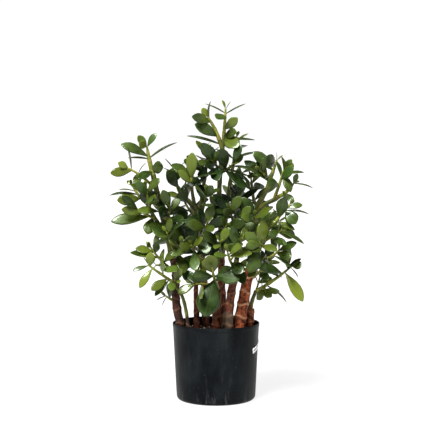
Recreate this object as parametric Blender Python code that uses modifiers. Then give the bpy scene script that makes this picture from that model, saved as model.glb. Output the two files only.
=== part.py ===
"""Potted jade plant: ten rooted stems with leafy shoots in a round nursery pot.

The frame is +Z up with the origin at the centre of the pot's underside, and the
front of the plant faces -Y. Lengths in the tables are millimetres, and mm() turns
them into the scene's metres.
"""

import math

import bmesh
import bpy
from mathutils import Matrix, Vector
from mathutils.bvhtree import BVHTree

MM = 0.001

# Driving dimensions of the pot, its soil and its label, millimetres.
POT_RIM_RADIUS = 95.0
POT_HEIGHT = 168.0
POT_TAPER = 8.5  # how much narrower the radius is at the base
POT_WALL = 2.0
POT_FLOOR = 3.0
POT_CORNER = 9.0  # rounding between the wall and the floor
RIM_LIP = 0.4  # how far the rolled rim stands proud
POT_STEPS = 36
DRAIN_COUNT = 4
DRAIN_RADIUS = 6.0
DRAIN_CIRCLE = 58.0
SOIL_TOP = 150.0
SOIL_CROWN = 4.0  # the middle of the soil stands this much higher than its edge
GAP = 0.35  # clearance between touching pieces
LABEL_SIZE = (62.0, 11.0, 0.5)
LABEL_MIDDLE = (78.0, 119.0)  # degrees round from the front towards +X, and height
LABEL_TILT = 14.0

TWIG_TIP = 1.8  # radius of each twig's tip

# Leaf proportions, as shares of a leaf's length.
LEAF_WIDTH = 0.5
LEAF_THICKNESS = 0.07
LEAF_ARCH = 0.055  # the midrib's rise above its chord
LEAF_CUP = 0.025  # the lift of the margins above the midrib

# A shoot's leaf pairs, counted down from its tip: length as a share of the
# longest leaf, distance below the tip in leaf lengths, and angle off the shoot.
PAIR_LENGTH = (0.30, 0.68, 0.95, 1.0, 1.0)
PAIR_BELOW_TIP = (0.0, 0.20, 0.48, 0.84, 1.22)
PAIR_OPENING = (26.0, 47.0, 63.0, 74.0, 82.0)

# Leaves turn their upper faces to the light, which comes from outside the plant
# and a little above: the pull is a share of the leaf's own facing.
LIGHT_PULL = 0.6
LIGHT_RISE = 0.35
LIGHT_MIDDLE = 60.0  # shoots further back than this face the back

# Leaves placed one by one where they show most: the twig, the share of its
# centreline that the leaf grows from, the leaf's tip, how far its face turns to
# the front, from 0 for a leaf seen on edge to 90, and its width as a share of its length.
PLACED_LEAVES = [
    # crown
    (1, 0.86, (-24, 8, 645), 5, 0.28), (1, 0.84, (65, 4, 645), 5, 0.30), (1, 0.80, (2, -44, 610), 50, 0.55),
    (1, 0.40, (47, -14, 614), 80, 0.52), (1, 0.14, (48, -42, 551), 70, 0.62),
    (1, 0.10, (86, 12, 566), 8, 0.34), (1, 0.20, (44, -30, 584), 72, 0.60),
    (2, 0.98, (-30, -14, 635), 80, 0.60), (2, 0.90, (-11, -28, 652), 8, 0.34),
    (2, 0.80, (-52, -36, 616), 70, 0.46), (2, 0.34, (-46, -22, 601), 72, 0.44),
    (2, 0.14, (-64, -4, 575), 8, 0.34), (4, 0.80, (-30, -48, 560), 80, 0.50),
    # top left
    (6, 0.66, (-206, -8, 557), 55, 0.38), (6, 0.95, (-169, -6, 576), 80, 0.52),
    (6, 0.98, (-166, -26, 560), 80, 0.60), (6, 0.96, (-129, -4, 581), 62, 0.42),
    (6, 0.62, (-84, 6, 561), 5, 0.34), (6, 0.60, (-194, 20, 527), 10, 0.34),
    (6, 0.28, (-113, -26, 508), 80, 0.75), (6, 0.18, (-165, -42, 482), 62, 0.42),
    (7, 0.97, (-210, -34, 518), 80, 0.60), (7, 0.88, (-190, -30, 550), 8, 0.32),
    (7, 0.84, (-227, -34, 495), 80, 0.44), (7, 0.66, (-150, -30, 517), 5, 0.24),
    # left
    (8, 0.55, (-229, -30, 447), 12, 0.32), (8, 0.35, (-212, -42, 437), 80, 0.50),
    (9, 0.20, (-150, -40, 463), 85, 0.80), (10, 0.55, (-202, -52, 418), 70, 0.42),
    (10, 0.25, (-226, -36, 391), 65, 0.32), (10, 0.14, (-147, -44, 364), 85, 0.62),
    (11, 0.95, (-113, 30, 526), 5, 0.30), (11, 0.35, (-108, 8, 500), 65, 0.50),
    (11, 0.60, (-76, 20, 506), 75, 0.50), (18, 0.92, (-114, -54, 460), 75, 0.50),
    # lower left
    (20, 0.60, (-184, -50, 325), 42, 0.30), (20, 0.80, (-124, -60, 350), 75, 0.50),
    (21, 0.90, (-138, -66, 328), 85, 0.62), (21, 0.97, (-155, -58, 316), 8, 0.40),
    (21, 0.95, (-178, -62, 287), 52, 0.32), (21, 0.80, (-163, -66, 251), 75, 0.34),
    (21, 0.20, (-138, -66, 246), 72, 0.46), (21, 0.12, (-131, -58, 233), 60, 0.32),
    (22, 0.96, (-128, -40, 221), 8, 0.34), (22, 0.90, (-118, -24, 206), 8, 0.32),
    # middle, in front
    (13, 0.62, (-50, -56, 540), 80, 0.42), (13, 0.50, (-80, -50, 502), 60, 0.46),
    (15, 0.18, (-70, -64, 377), 72, 0.40), (49, 0.90, (-60, -74, 398), 35, 0.26),
    (17, 0.85, (-96, -84, 322), 65, 0.34), (4, 0.30, (-44, -48, 462), 20, 0.26),
    (5, 0.75, (86, -40, 497), 18, 0.36), (5, 0.96, (58, -38, 566), 70, 0.42),
    (5, 0.30, (62, -44, 460), 50, 0.40), (23, 0.80, (-15, -112, 326), 85, 0.82),
    (23, 0.58, (-24, -106, 195), 86, 0.60), (23, 0.70, (50, -102, 274), 70, 0.50),
    (24, 0.80, (76, -114, 330), 48, 0.42), (24, 0.48, (56, -112, 288), 78, 0.60),
    (34, 0.88, (62, -112, 346), 85, 0.66), (37, 0.90, (68, -92, 402), 70, 0.60),
    # right
    (29, 0.62, (80, 4, 541), 70, 0.42), (29, 0.25, (62, 26, 521), 62, 0.34),
    (29, 0.80, (106, -30, 530), 65, 0.55), (31, 0.95, (164, -18, 524), 80, 0.55),
    (31, 0.60, (166, -52, 508), 60, 0.42), (31, 0.78, (160, -36, 454), 75, 0.42),
    (31, 0.70, (191, -14, 496), 20, 0.36), (30, 0.97, (210, -26, 462), 8, 0.34),
    (30, 0.95, (175, -30, 494), 80, 0.50), (32, 0.80, (200, -52, 407), 6, 0.32),
    (32, 0.85, (170, -66, 388), 85, 0.75), (32, 0.50, (168, -60, 374), 35, 0.40),
    (32, 0.62, (146, -76, 446), 80, 0.50), (30, 0.35, (166, -44, 434), 75, 0.42),
    (33, 0.85, (188, -62, 345), 18, 0.38), (33, 0.80, (110, -90, 364), 85, 0.55),
    # lower right
    (38, 0.88, (150, -44, 342), 70, 0.36), (38, 0.82, (184, -36, 311), 28, 0.36),
    (38, 0.99, (187, -38, 299), 85, 0.80), (38, 0.96, (178, -30, 269), 15, 0.30),
    (38, 0.80, (187, -44, 219), 75, 0.34), (38, 0.74, (86, -64, 297), 60, 0.32),
    (38, 0.14, (121, -22, 226), 80, 0.60), (38, 0.28, (154, -20, 213), 5, 0.30),
    (38, 0.16, (103, -20, 270), 5, 0.26),
    # in front of the trunks
    (23, 0.68, (-52, -104, 280), 70, 0.50), (23, 0.45, (36, -86, 302), 60, 0.50),
    (17, 0.30, (-74, -70, 290), 60, 0.48), (24, 0.20, (60, -88, 262), 72, 0.44),
    (36, 0.50, (112, -70, 268), 60, 0.42), (35, 0.75, (160, -74, 318), 70, 0.45),
    (22, 0.60, (-96, -58, 262), 60, 0.40), (23, 0.30, (-38, -58, 226), 30, 0.36),
    (7, 0.30, (-120, -46, 476), 60, 0.45), (33, 0.40, (150, -74, 344), 60, 0.42),
    # filling the middle
    (4, 0.55, (-22, -66, 512), 78, 0.50), (15, 0.80, (-6, -88, 470), 70, 0.50),
    (31, 0.45, (108, -46, 476), 70, 0.50), (9, 0.70, (-170, -66, 478), 66, 0.44),
    (10, 0.80, (-202, -56, 446), 60, 0.40), (35, 0.85, (172, -64, 348), 60, 0.42),
    (18, 0.60, (-122, -72, 424), 70, 0.46), (27, 0.70, (16, -88, 420), 75, 0.50),
]

# What a placed leaf may do to find room: a twist in degrees and a share of its length.
PLACED_MOVES = (
    (0, 1.0), (12, 1.0), (-12, 1.0), (0, 0.9), (24, 0.95),
    (-24, 0.95), (0, 0.8), (36, 0.85), (-36, 0.85), (0, 0.7),
)

# What a leaf tries, in turn, until it is clear of its neighbours: degrees round
# the shoot, degrees of opening, degrees of twist and a share of its length.
LEAF_MOVES = (
    (0, 0, 0, 1.0), (0, 9, 0, 1.0), (0, -9, 0, 1.0), (13, 0, 8, 1.0), (-13, 0, -8, 1.0),
    (8, 16, 20, 1.0), (-8, 16, -20, 1.0), (10, -16, 25, 0.95), (-10, -16, -25, 0.95),
    (24, 6, 30, 0.92), (-24, 6, -30, 0.92), (20, -14, 0, 0.88), (-20, -14, 0, 0.88),
    (0, 24, 0, 0.85), (0, -26, 0, 0.8), (34, 10, 40, 0.8), (-34, 10, -40, 0.8),
    (0, 0, 45, 0.75), (0, 0, -45, 0.75), (14, 12, 0, 0.66), (-14, 12, 0, 0.66),
    (12, -20, 0, 0.6), (-12, -20, 0, 0.6), (0, 0, 0, 0.52),
)

# Stems: each is a list of limbs, and each limb a list of x, y, z and radius in
# millimetres. The first limb stands in the soil; the others start inside it.
STEMS = {
    "stem_01": [
        [(-70, -18, 122, 9.8), (-76, -19, 150, 9.8), (-78, -20, 170, 9.8), (-84, -20, 196, 9.5),
         (-88, -20, 239, 9), (-88, -15, 278, 8.5), (-98, -10, 328, 7.5), (-110, -5, 373, 6.8),
         (-121, 0, 421, 6.4), (-131, 0, 464, 6.2), (-137, 0, 492, 6.2)],
        [(-103, -8, 345, 4.4), (-118, -12, 374, 4.6), (-134, -15, 400, 4.4), (-149, -20, 428, 4.0)],
    ],
    "stem_02": [
        [(-57, -56, 122, 4.2), (-58, -56, 150, 4.2), (-64, -56, 200, 3.9), (-74, -52, 235, 3.7),
         (-94, -46, 263, 3.5)],
    ],
    "stem_03": [
        [(-42, 18, 122, 8), (-42, 18, 150, 8), (-43, 20, 184, 6.5), (-44, 20, 247, 5),
         (-39, 10, 299, 4.6), (-33, -10, 354, 4.6), (-33, -26, 400, 4.6), (-46, -34, 428, 4.4)],
    ],
    "stem_04": [
        [(0, -15, 122, 10.5), (0, -15, 150, 10.5), (2, -15, 195, 9.2), (5, -12, 225, 6.8),
         (8, -10, 251, 6.0), (11, 0, 316, 5.8), (10, 5, 379, 5.6), (7, 5, 447, 5.4),
         (10, 0, 501, 5.0), (14, 0, 545, 4.8), (16, 0, 565, 4.6)],
    ],
    "stem_05": [
        [(24, -50, 122, 12), (24, -50, 150, 12), (26, -48, 186, 11.5), (28, -46, 200, 9.8),
         (34, -42, 244, 9), (39, -38, 268, 8.2), (44, -25, 303, 6), (50, -5, 345, 4.6),
         (49, 10, 381, 4.2), (46, 14, 402, 4.0)],
    ],
    "stem_06": [
        [(49, -30, 122, 13.5), (50, -30, 150, 13.5), (54, -30, 192, 12.8), (60, -28, 223, 12),
         (65, -25, 251, 11.4), (71, -22, 276, 10.4), (75, -19, 298, 8.6), (77, -14, 320, 7.2),
         (77, -4, 350, 6.8), (81, 5, 388, 6.4), (87, 10, 416, 6.2), (101, 10, 441, 5.8),
         (112, 10, 460, 5.6)],
        [(84, 8, 402, 4.6), (104, -3, 425, 5.2), (126, -10, 437, 5.0), (138, -14, 445, 4.8)],
        [(72, -21, 286, 4.2), (84, -35, 314, 4.8), (97, -45, 343, 4.4), (103, -46, 365, 4.2)],
    ],
    "stem_07": [
        [(72, -5, 122, 9.8), (72, -5, 150, 9.8), (74, -5, 178, 9.6), (75, -5, 199, 9.2)],
        [(74.5, -5, 185, 4.4), (76, -6, 203, 4.6), (80, -10, 220, 4.3), (87, -12, 238, 4.2)],
    ],
    "stem_08": [
        [(-22, 40, 122, 9), (-22, 40, 150, 9), (-24, 45, 211, 8), (-29, 50, 277, 7.4),
         (-36, 50, 344, 7), (-44, 50, 396, 6.2), (-58, 50, 428, 5.2), (-78, 45, 444, 4.6)],
        [(-41, 50, 376, 4.6), (-34, 46, 420, 4.8), (-29, 40, 456, 4.6), (-24, 35, 488, 4.4)],
    ],
    "stem_09": [
        [(60, 45, 122, 9.5), (60, 45, 150, 9.5), (67, 55, 210, 8.6), (76, 65, 276, 7.8),
         (85, 70, 343, 6.8), (89, 70, 399, 5.6), (85, 70, 430, 5.0)],
        [(78, 67, 292, 4.6), (96, 80, 322, 4.8), (118, 88, 350, 4.4)],
    ],
    "stem_10": [
        [(17, 62, 122, 9.5), (17, 62, 150, 9.5), (14, 75, 218, 8.4), (13, 88, 296, 7.2),
         (20, 93, 375, 6.2), (28, 88, 443, 5.2), (35, 80, 492, 4.6)],
        [(13, 86, 282, 4.6), (-6, 104, 318, 4.8), (-22, 112, 352, 4.4)],
    ],
}

# Shoots: stem, limb, how far along that limb it starts, the tip, an optional
# point that it bends towards, leaf pairs, longest leaf, azimuth of the second
# pair from the tip in degrees (0 is +X, 90 is away from the front) and radius.
SHOOTS = [
    # crown and leader
    ("stem_04", 0, 1.00, (21, 0, 636), None, 1, 66, 90, 4.4),
    ("stem_04", 0, 0.955, (-18, -10, 616), (2, -5, 588), 0, 62, 160, 5.0),
    ("stem_10", 0, 1.00, (46, 66, 574), None, 4, 58, 30, 4.0),
    ("stem_04", 0, 0.86, (-10, -36, 524), None, 3, 58, 20, 3.4),
    ("stem_04", 0, 0.84, (38, -30, 516), None, 4, 56, 50, 3.4),
    # left side
    ("stem_01", 0, 1.00, (-150, 0, 553), None, 0, 64, 50, 6.0),
    ("stem_01", 0, 0.90, (-190, -26, 506), (-156, -18, 490), 0, 56, 60, 3.4),
    ("stem_01", 1, 1.00, (-180, -26, 468), None, 2, 62, 30, 3.6),
    ("stem_01", 1, 0.80, (-150, -46, 466), None, 3, 58, 10, 3.0),
    ("stem_01", 1, 0.62, (-178, -40, 424), (-150, -28, 404), 1, 60, 110, 3.4),
    ("stem_08", 0, 1.00, (-90, 33, 502), (-90, 42, 466), 3, 54, 20, 4.0),
    ("stem_08", 1, 1.00, (-18, 22, 544), None, 4, 62, 150, 4.0),
    ("stem_03", 0, 1.00, (-48, -42, 514), (-58, -40, 470), 4, 60, 80, 4.2),
    ("stem_03", 0, 0.93, (-76, -28, 456), None, 3, 56, 0, 3.2),
    ("stem_03", 0, 0.90, (-20, -62, 456), None, 3, 58, 15, 3.2),
    ("stem_03", 0, 0.76, (-16, -84, 396), None, 4, 60, 100, 3.2),
    ("stem_03", 0, 0.60, (-52, -74, 344), None, 4, 62, 10, 3.2),
    ("stem_01", 0, 0.66, (-98, -46, 424), None, 4, 56, 40, 3.2),
    ("stem_01", 0, 0.50, (-74, -70, 346), None, 3, 66, 20, 3.4),
    ("stem_01", 0, 0.42, (-140, -42, 336), None, 2, 66, 10, 3.4),
    ("stem_02", 0, 1.00, (-146, -54, 300), (-120, -48, 280), 0, 62, 50, 3.4),
    ("stem_01", 0, 0.25, (-108, -34, 230), (-100, -26, 222), 1, 54, 20, 3.0),
    # front
    ("stem_04", 0, 0.27, (-8, -104, 300), (-4, -66, 262), 1, 60, 0, 3.8),
    ("stem_05", 0, 0.60, (24, -112, 334), (30, -80, 300), 2, 62, 20, 3.4),
    ("stem_04", 0, 0.42, (8, -92, 354), None, 4, 56, 60, 3.2),
    ("stem_04", 0, 0.56, (22, -78, 384), None, 4, 56, 120, 3.2),
    ("stem_05", 0, 0.86, (28, -60, 420), None, 4, 60, 30, 3.2),
    ("stem_05", 0, 1.00, (43, 14, 458), None, 4, 60, 75, 3.6),
    # right side
    ("stem_06", 0, 1.00, (133, 10, 524), (122, 10, 490), 1, 60, 90, 5.4),
    ("stem_06", 1, 1.00, (168, -26, 474), (152, -20, 450), 1, 58, 20, 4.8),
    ("stem_06", 1, 0.78, (150, -12, 512), (138, -14, 470), 3, 54, 60, 4.0),
    ("stem_06", 2, 1.00, (158, -52, 430), (124, -48, 388), 2, 54, 5, 3.8),
    ("stem_06", 2, 0.80, (140, -72, 378), None, 3, 60, 10, 3.2),
    ("stem_06", 2, 0.55, (94, -104, 350), None, 3, 66, 150, 3.2),
    ("stem_06", 2, 0.30, (144, -42, 338), (116, -44, 306), 4, 56, 60, 3.2),
    ("stem_06", 0, 0.46, (112, -40, 296), (96, -34, 274), 2, 66, 0, 3.0),
    ("stem_06", 0, 0.70, (84, -76, 406), None, 4, 62, 20, 3.2),
    ("stem_07", 1, 1.00, (164, -26, 294), (126, -16, 260), 0, 70, 0, 4.2),
    ("stem_07", 1, 0.62, (96, 14, 264), None, 2, 54, 30, 2.6),
    ("stem_09", 0, 1.00, (78, 60, 482), None, 4, 60, 30, 4.2),
    # back
    ("stem_09", 1, 1.00, (142, 94, 392), None, 4, 60, 40, 4.0),
    ("stem_09", 0, 0.72, (100, 134, 404), None, 4, 60, 10, 3.4),
    ("stem_10", 1, 1.00, (-34, 130, 400), None, 4, 60, 50, 4.0),
    ("stem_10", 0, 0.72, (40, 144, 442), None, 4, 60, 20, 3.4),
    ("stem_08", 0, 0.58, (-92, 98, 372), None, 4, 62, 70, 3.4),
    ("stem_08", 0, 0.80, (-78, 102, 442), None, 4, 56, 10, 3.2),
    ("stem_09", 0, 0.42, (118, 62, 298), None, 3, 60, 50, 3.2),
]

# Twigs, which branch off a shoot and belong to it: the shoot's number, how far
# along it they start, and then as for a shoot from the tip onwards.
TWIGS = [
    (18, 0.45, (-132, -50, 436), None, 3, 54, 100, 2.6),
    (19, 0.40, (-104, -76, 372), None, 3, 58, 60, 2.6),
    (20, 0.35, (-128, -64, 300), None, 2, 60, 0, 2.6),
    (21, 0.40, (-112, -76, 316), None, 3, 52, 20, 2.4),
    (17, 0.30, (-22, -66, 312), None, 2, 60, 60, 2.6),
    (23, 0.35, (-52, -98, 264), None, 3, 58, 40, 2.6),
    (21, 0.12, (-86, -90, 270), None, 2, 56, 60, 2.4),
    (38, 0.22, (108, -34, 238), None, 2, 50, 20, 2.4),
    (24, 0.35, (52, -92, 300), None, 2, 62, 20, 2.6),
    (24, 0.60, (56, -104, 362), None, 3, 54, 80, 2.6),
    (27, 0.40, (56, -70, 400), None, 3, 52, 60, 2.6),
    (36, 0.40, (86, -62, 292), None, 2, 54, 60, 2.4),
    (12, 0.35, (-46, 6, 516), None, 3, 50, 40, 2.6),
    (5, 0.45, (66, -20, 490), None, 3, 52, 10, 2.6),
    (29, 0.35, (96, -10, 500), None, 3, 56, 40, 2.8),
    (37, 0.35, (112, -64, 392), None, 2, 54, 70, 2.6),
]


def mm(*values):
    """A vector in metres from millimetres."""
    return Vector(values) * MM


def clear_scene():
    for obj in list(bpy.data.objects):
        bpy.data.objects.remove(obj, do_unlink=True)


def collection(name, hidden=False):
    made = bpy.data.collections.new(name)
    made.hide_render = hidden
    bpy.context.scene.collection.children.link(made)
    return made


def material(name, colour, roughness, metallic=0.0):
    made = bpy.data.materials.new(name)
    made.use_nodes = True
    shader = made.node_tree.nodes["Principled BSDF"]
    shader.inputs["Base Color"].default_value = (*colour, 1.0)
    shader.inputs["Roughness"].default_value = roughness
    shader.inputs["Metallic"].default_value = metallic
    return made


def add_object(name, mesh, where, finish=None):
    obj = bpy.data.objects.new(name, mesh)
    where.objects.link(obj)
    if finish:
        mesh.materials.clear()
        mesh.materials.append(finish)
    return obj


def shade(obj, angle=math.radians(40)):
    obj.data.shade_smooth()
    obj.data.set_sharp_from_angle(angle=angle)


def evaluated_mesh(obj):
    bpy.context.view_layer.update()
    graph = bpy.context.evaluated_depsgraph_get()
    return bpy.data.meshes.new_from_object(obj.evaluated_get(graph))


def combine(base, operands, operation):
    """Applies one exact Boolean between base and every operand, then removes the operands."""
    group = collection("operands", hidden=True)
    for operand in operands:
        for owner in list(operand.users_collection):
            owner.objects.unlink(operand)
        group.objects.link(operand)
    modifier = base.modifiers.new("combine", "BOOLEAN")
    modifier.operand_type = "COLLECTION"
    modifier.collection = group
    modifier.solver = "EXACT"
    modifier.operation = operation
    mesh = evaluated_mesh(base)
    base.modifiers.clear()
    base.data = mesh
    for operand in operands:
        bpy.data.objects.remove(operand, do_unlink=True)
    bpy.data.collections.remove(group)
    return base


def tube_mesh(points, radii, sides_level, name):
    """A closed round tube through the points: a bevelled poly curve with its caps welded on."""
    data = bpy.data.curves.new(name, "CURVE")
    data.dimensions = "3D"
    data.bevel_depth = 1.0
    data.bevel_resolution = sides_level
    data.use_fill_caps = True
    spline = data.splines.new("POLY")
    spline.points.add(len(points) - 1)
    for spot, place, radius in zip(spline.points, points, radii):
        spot.co = (*place, 1.0)
        spot.radius = radius
    curve = bpy.data.objects.new(name, data)
    bpy.context.scene.collection.objects.link(curve)
    mesh = evaluated_mesh(curve)
    bpy.data.objects.remove(curve, do_unlink=True)
    cage = bmesh.new()
    cage.from_mesh(mesh)
    bmesh.ops.remove_doubles(cage, verts=cage.verts, dist=0.00001)
    bmesh.ops.recalc_face_normals(cage, faces=cage.faces)
    cage.to_mesh(mesh)
    cage.free()
    return mesh


def screw_object(name, profile, steps, where, finish):
    """A turned body from a closed profile of (radius, height) points, anticlockwise in the XZ plane."""
    mesh = bpy.data.meshes.new(name)
    cage = bmesh.new()
    corners = [cage.verts.new(mm(r, 0, z)) for r, z in profile]
    for first, second in zip(corners, corners[1:]):
        cage.edges.new((first, second))
    if profile[0][0] > 0:
        cage.edges.new((corners[-1], corners[0]))
    cage.to_mesh(mesh)
    cage.free()
    obj = add_object(name, mesh, where, finish)
    turn = obj.modifiers.new("turn", "SCREW")
    turn.axis = "Z"
    turn.steps = turn.render_steps = steps
    turn.use_merge_vertices = True
    turn.merge_threshold = 0.00001
    mesh = evaluated_mesh(obj)
    obj.modifiers.clear()
    obj.data = mesh
    cage = bmesh.new()
    cage.from_mesh(mesh)
    bmesh.ops.remove_doubles(cage, verts=cage.verts, dist=0.00001)
    bmesh.ops.recalc_face_normals(cage, faces=cage.faces)
    cage.to_mesh(mesh)
    cage.free()
    mesh.materials.clear()
    mesh.materials.append(finish)
    return obj


# ---------------------------------------------------------------- pot and soil


def wall_radius(height):
    """The pot's outer radius at a height, both in millimetres."""
    return POT_RIM_RADIUS - RIM_LIP - POT_TAPER * (POT_HEIGHT - height) / POT_HEIGHT


def corner_arc(radius, rounding, count=4):
    """Points of the rounded corner from the floor up to the wall."""
    turns = [math.radians(90 * i / count) for i in range(count + 1)]
    return [(radius - rounding + rounding * math.sin(a), rounding - rounding * math.cos(a)) for a in turns]


def build_pot(where, finish):
    outside = corner_arc(wall_radius(POT_CORNER), POT_CORNER)
    outside += [(wall_radius(POT_HEIGHT - 9), POT_HEIGHT - 9), (POT_RIM_RADIUS, POT_HEIGHT - 7)]
    outside += [(POT_RIM_RADIUS, POT_HEIGHT - 0.8), (POT_RIM_RADIUS - 0.8, POT_HEIGHT)]
    inner_top = wall_radius(POT_HEIGHT) - POT_WALL
    inner_corner = wall_radius(POT_CORNER) - POT_WALL
    inside = [(inner_top, POT_HEIGHT), (inner_corner, POT_FLOOR + 6), (inner_corner - 6, POT_FLOOR)]
    pot = screw_object("pot", [(0, 0), *outside, *inside, (0, POT_FLOOR)], POT_STEPS, where, finish)
    cutters = []
    for number in range(DRAIN_COUNT):
        angle = math.tau * number / DRAIN_COUNT
        middle = mm(DRAIN_CIRCLE * math.cos(angle), DRAIN_CIRCLE * math.sin(angle), POT_FLOOR / 2)
        bpy.ops.mesh.primitive_cylinder_add(
            vertices=12, radius=DRAIN_RADIUS * MM, depth=12 * MM, location=middle
        )
        cutters.append(bpy.context.object)
    combine(pot, cutters, "DIFFERENCE")
    shade(pot)
    return pot


def build_soil(where, finish):
    edge = wall_radius(SOIL_TOP) - POT_WALL - GAP
    low = wall_radius(POT_CORNER) - POT_WALL - GAP
    floor = POT_FLOOR + GAP
    profile = [(0, floor), (low - 6.3, floor), (low, floor + 6.3), (edge, SOIL_TOP - 1)]
    profile += [(edge * 0.7, SOIL_TOP + 1.5), (0, SOIL_TOP + SOIL_CROWN)]
    return screw_object("potting_soil", profile, POT_STEPS, where, finish)


def build_label(where, finish):
    """A sticker that follows the pot's wall, one gap clear of it."""
    width, height, thick = LABEL_SIZE
    tilt = math.radians(LABEL_TILT)
    mesh = bpy.data.meshes.new("pot_label")
    sheet = bmesh.new()
    bmesh.ops.create_grid(sheet, x_segments=12, y_segments=2, size=0.5)
    for vert in sheet.verts:
        along, up = vert.co.x * width, vert.co.y * height
        level = LABEL_MIDDLE[1] + along * math.sin(tilt) + up * math.cos(tilt)
        radius = wall_radius(level) + GAP
        turn = (along * math.cos(tilt) - up * math.sin(tilt)) / radius
        angle = math.radians(LABEL_MIDDLE[0] - 90) + turn
        vert.co = mm(radius * math.cos(angle), radius * math.sin(angle), level)
    bmesh.ops.recalc_face_normals(sheet, faces=sheet.faces)
    sheet.to_mesh(mesh)
    sheet.free()
    label = add_object("pot_label", mesh, where, finish)
    if label.data.polygons[0].normal.dot(label.data.polygons[0].center) < 0:
        label.data.flip_normals()
    skin = label.modifiers.new("paper", "SOLIDIFY")
    skin.thickness = thick * MM
    skin.offset = 1.0
    return label


# ---------------------------------------------------------------------- stems


def along(points, share):
    """The place, direction and radius at a share of a limb's length."""
    places = [mm(*p[:3]) for p in points]
    spans = [(b - a).length for a, b in zip(places, places[1:])]
    distance = share * sum(spans)
    for number, span in enumerate(spans):
        if distance <= span or number == len(spans) - 1:
            part = min(distance / span, 1.0)
            radius = points[number][3] + (points[number + 1][3] - points[number][3]) * part
            direction = (places[number + 1] - places[number]) / span
            return places[number].lerp(places[number + 1], part), direction, radius
        distance -= span


def limb_mesh(points, name, swell=0.0):
    """A limb's tube. Swelled by a clearance, it's a cutter that reaches past both ends."""
    places = [mm(*p[:3]) for p in points]
    radii = [(p[3] + swell) * MM for p in points]
    places[0] -= (places[1] - places[0]).normalized() * swell * MM
    places[-1] += (places[-1] - places[-2]).normalized() * swell * MM
    return tube_mesh(places, radii, 2, name)


def build_stem(name, limbs, where, finish):
    stem = add_object(name, limb_mesh(limbs[0], name), where, finish)
    side_limbs = [add_object(f"{name}_limb", limb_mesh(points, name), where) for points in limbs[1:]]
    if side_limbs:
        combine(stem, side_limbs, "UNION")
        stem.data.materials.clear()
        stem.data.materials.append(finish)
    shade(stem)
    return stem


# --------------------------------------------------------------------- leaves


def wobble(*numbers):
    """A repeatable value from -1 to 1 for a set of whole numbers."""
    mixed = sum(n * k for n, k in zip(numbers, (12.9898, 78.233, 37.719, 4.581)))
    return 2 * ((math.sin(mixed) * 43758.5453) % 1.0) - 1


def outline(t):
    """Half the blade's width at t, from 0 at the stalk to 1 at the tip, as a share of its widest."""
    return max(math.sin(math.pi * t**1.5), 0.0) ** 0.7


def plumpness(t):
    """Half the blade's thickness at t, as a share of its thickest."""
    return max(math.sin(math.pi * t**0.7), 0.0) ** 0.5


def leaf_shape(rings, sides, length, width_share, arch, inflate=0.0):
    """A leaf along +X with its upper face to +Z: a sphere squeezed to the blade's outline."""
    leaf = bmesh.new()
    bmesh.ops.create_uvsphere(leaf, u_segments=sides, v_segments=rings, radius=1.0)
    half_width, half_thick = length * width_share / 2, length * LEAF_THICKNESS / 2
    for vert in leaf.verts:
        t = min(max((1 + vert.co.z) / 2, 0.0), 1.0)
        around = math.atan2(vert.co.y, vert.co.x)
        on_axis = math.hypot(vert.co.x, vert.co.y) < 1e-6
        side = 0.0 if on_axis else math.cos(around)
        up = 0.0 if on_axis else math.sin(around)
        width = half_width * outline(t) * side
        lift = length * (4 * arch * t * (1 - t) + LEAF_CUP * outline(t) * side**2)
        height = lift + (half_thick * plumpness(t) + inflate) * up
        vert.co = Vector((length * t, width + inflate * side, height))
    bmesh.ops.recalc_face_normals(leaf, faces=leaf.faces)
    return leaf


def shoot_axis(start, tip, bend):
    """A centreline as a function of 0 to 1: a curve that leaves its limb and turns upwards."""
    end = mm(*tip)
    if bend:
        control = mm(*bend)
    else:
        reach = end - start
        control = start + Vector((reach.x * 0.6, reach.y * 0.6, reach.z * 0.42))

    def place(t):
        return start.lerp(control, t).lerp(control.lerp(end, t), t)

    return place


def axis_point(place, below_tip):
    """The place and direction at a distance below the shoot's tip, measured along the centreline."""
    steps = 60
    distance, here = 0.0, place(1.0)
    for number in range(steps - 1, -1, -1):
        lower = place(number / steps)
        distance += (here - lower).length
        if distance >= below_tip:
            return lower, (here - lower).normalized()
        here = lower
    return None, None


def plan_twigs():
    """Every leafy twig as (shoot, stem, centreline, tip, pairs, longest leaf, azimuth, radius)."""
    plan = []
    for number, (stem, limb, share, tip, bend, *rest) in enumerate(SHOOTS):
        start, _, _ = along(STEMS[stem][limb], min(share, 0.992))
        plan.append((number, stem, shoot_axis(start, tip, bend), tip, *rest))
    for number, share, tip, bend, *rest in TWIGS:
        _, stem, place, *_ = plan[number - 1]
        plan.append((number - 1, stem, shoot_axis(place(share), tip, bend), tip, *rest))
    return plan


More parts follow.
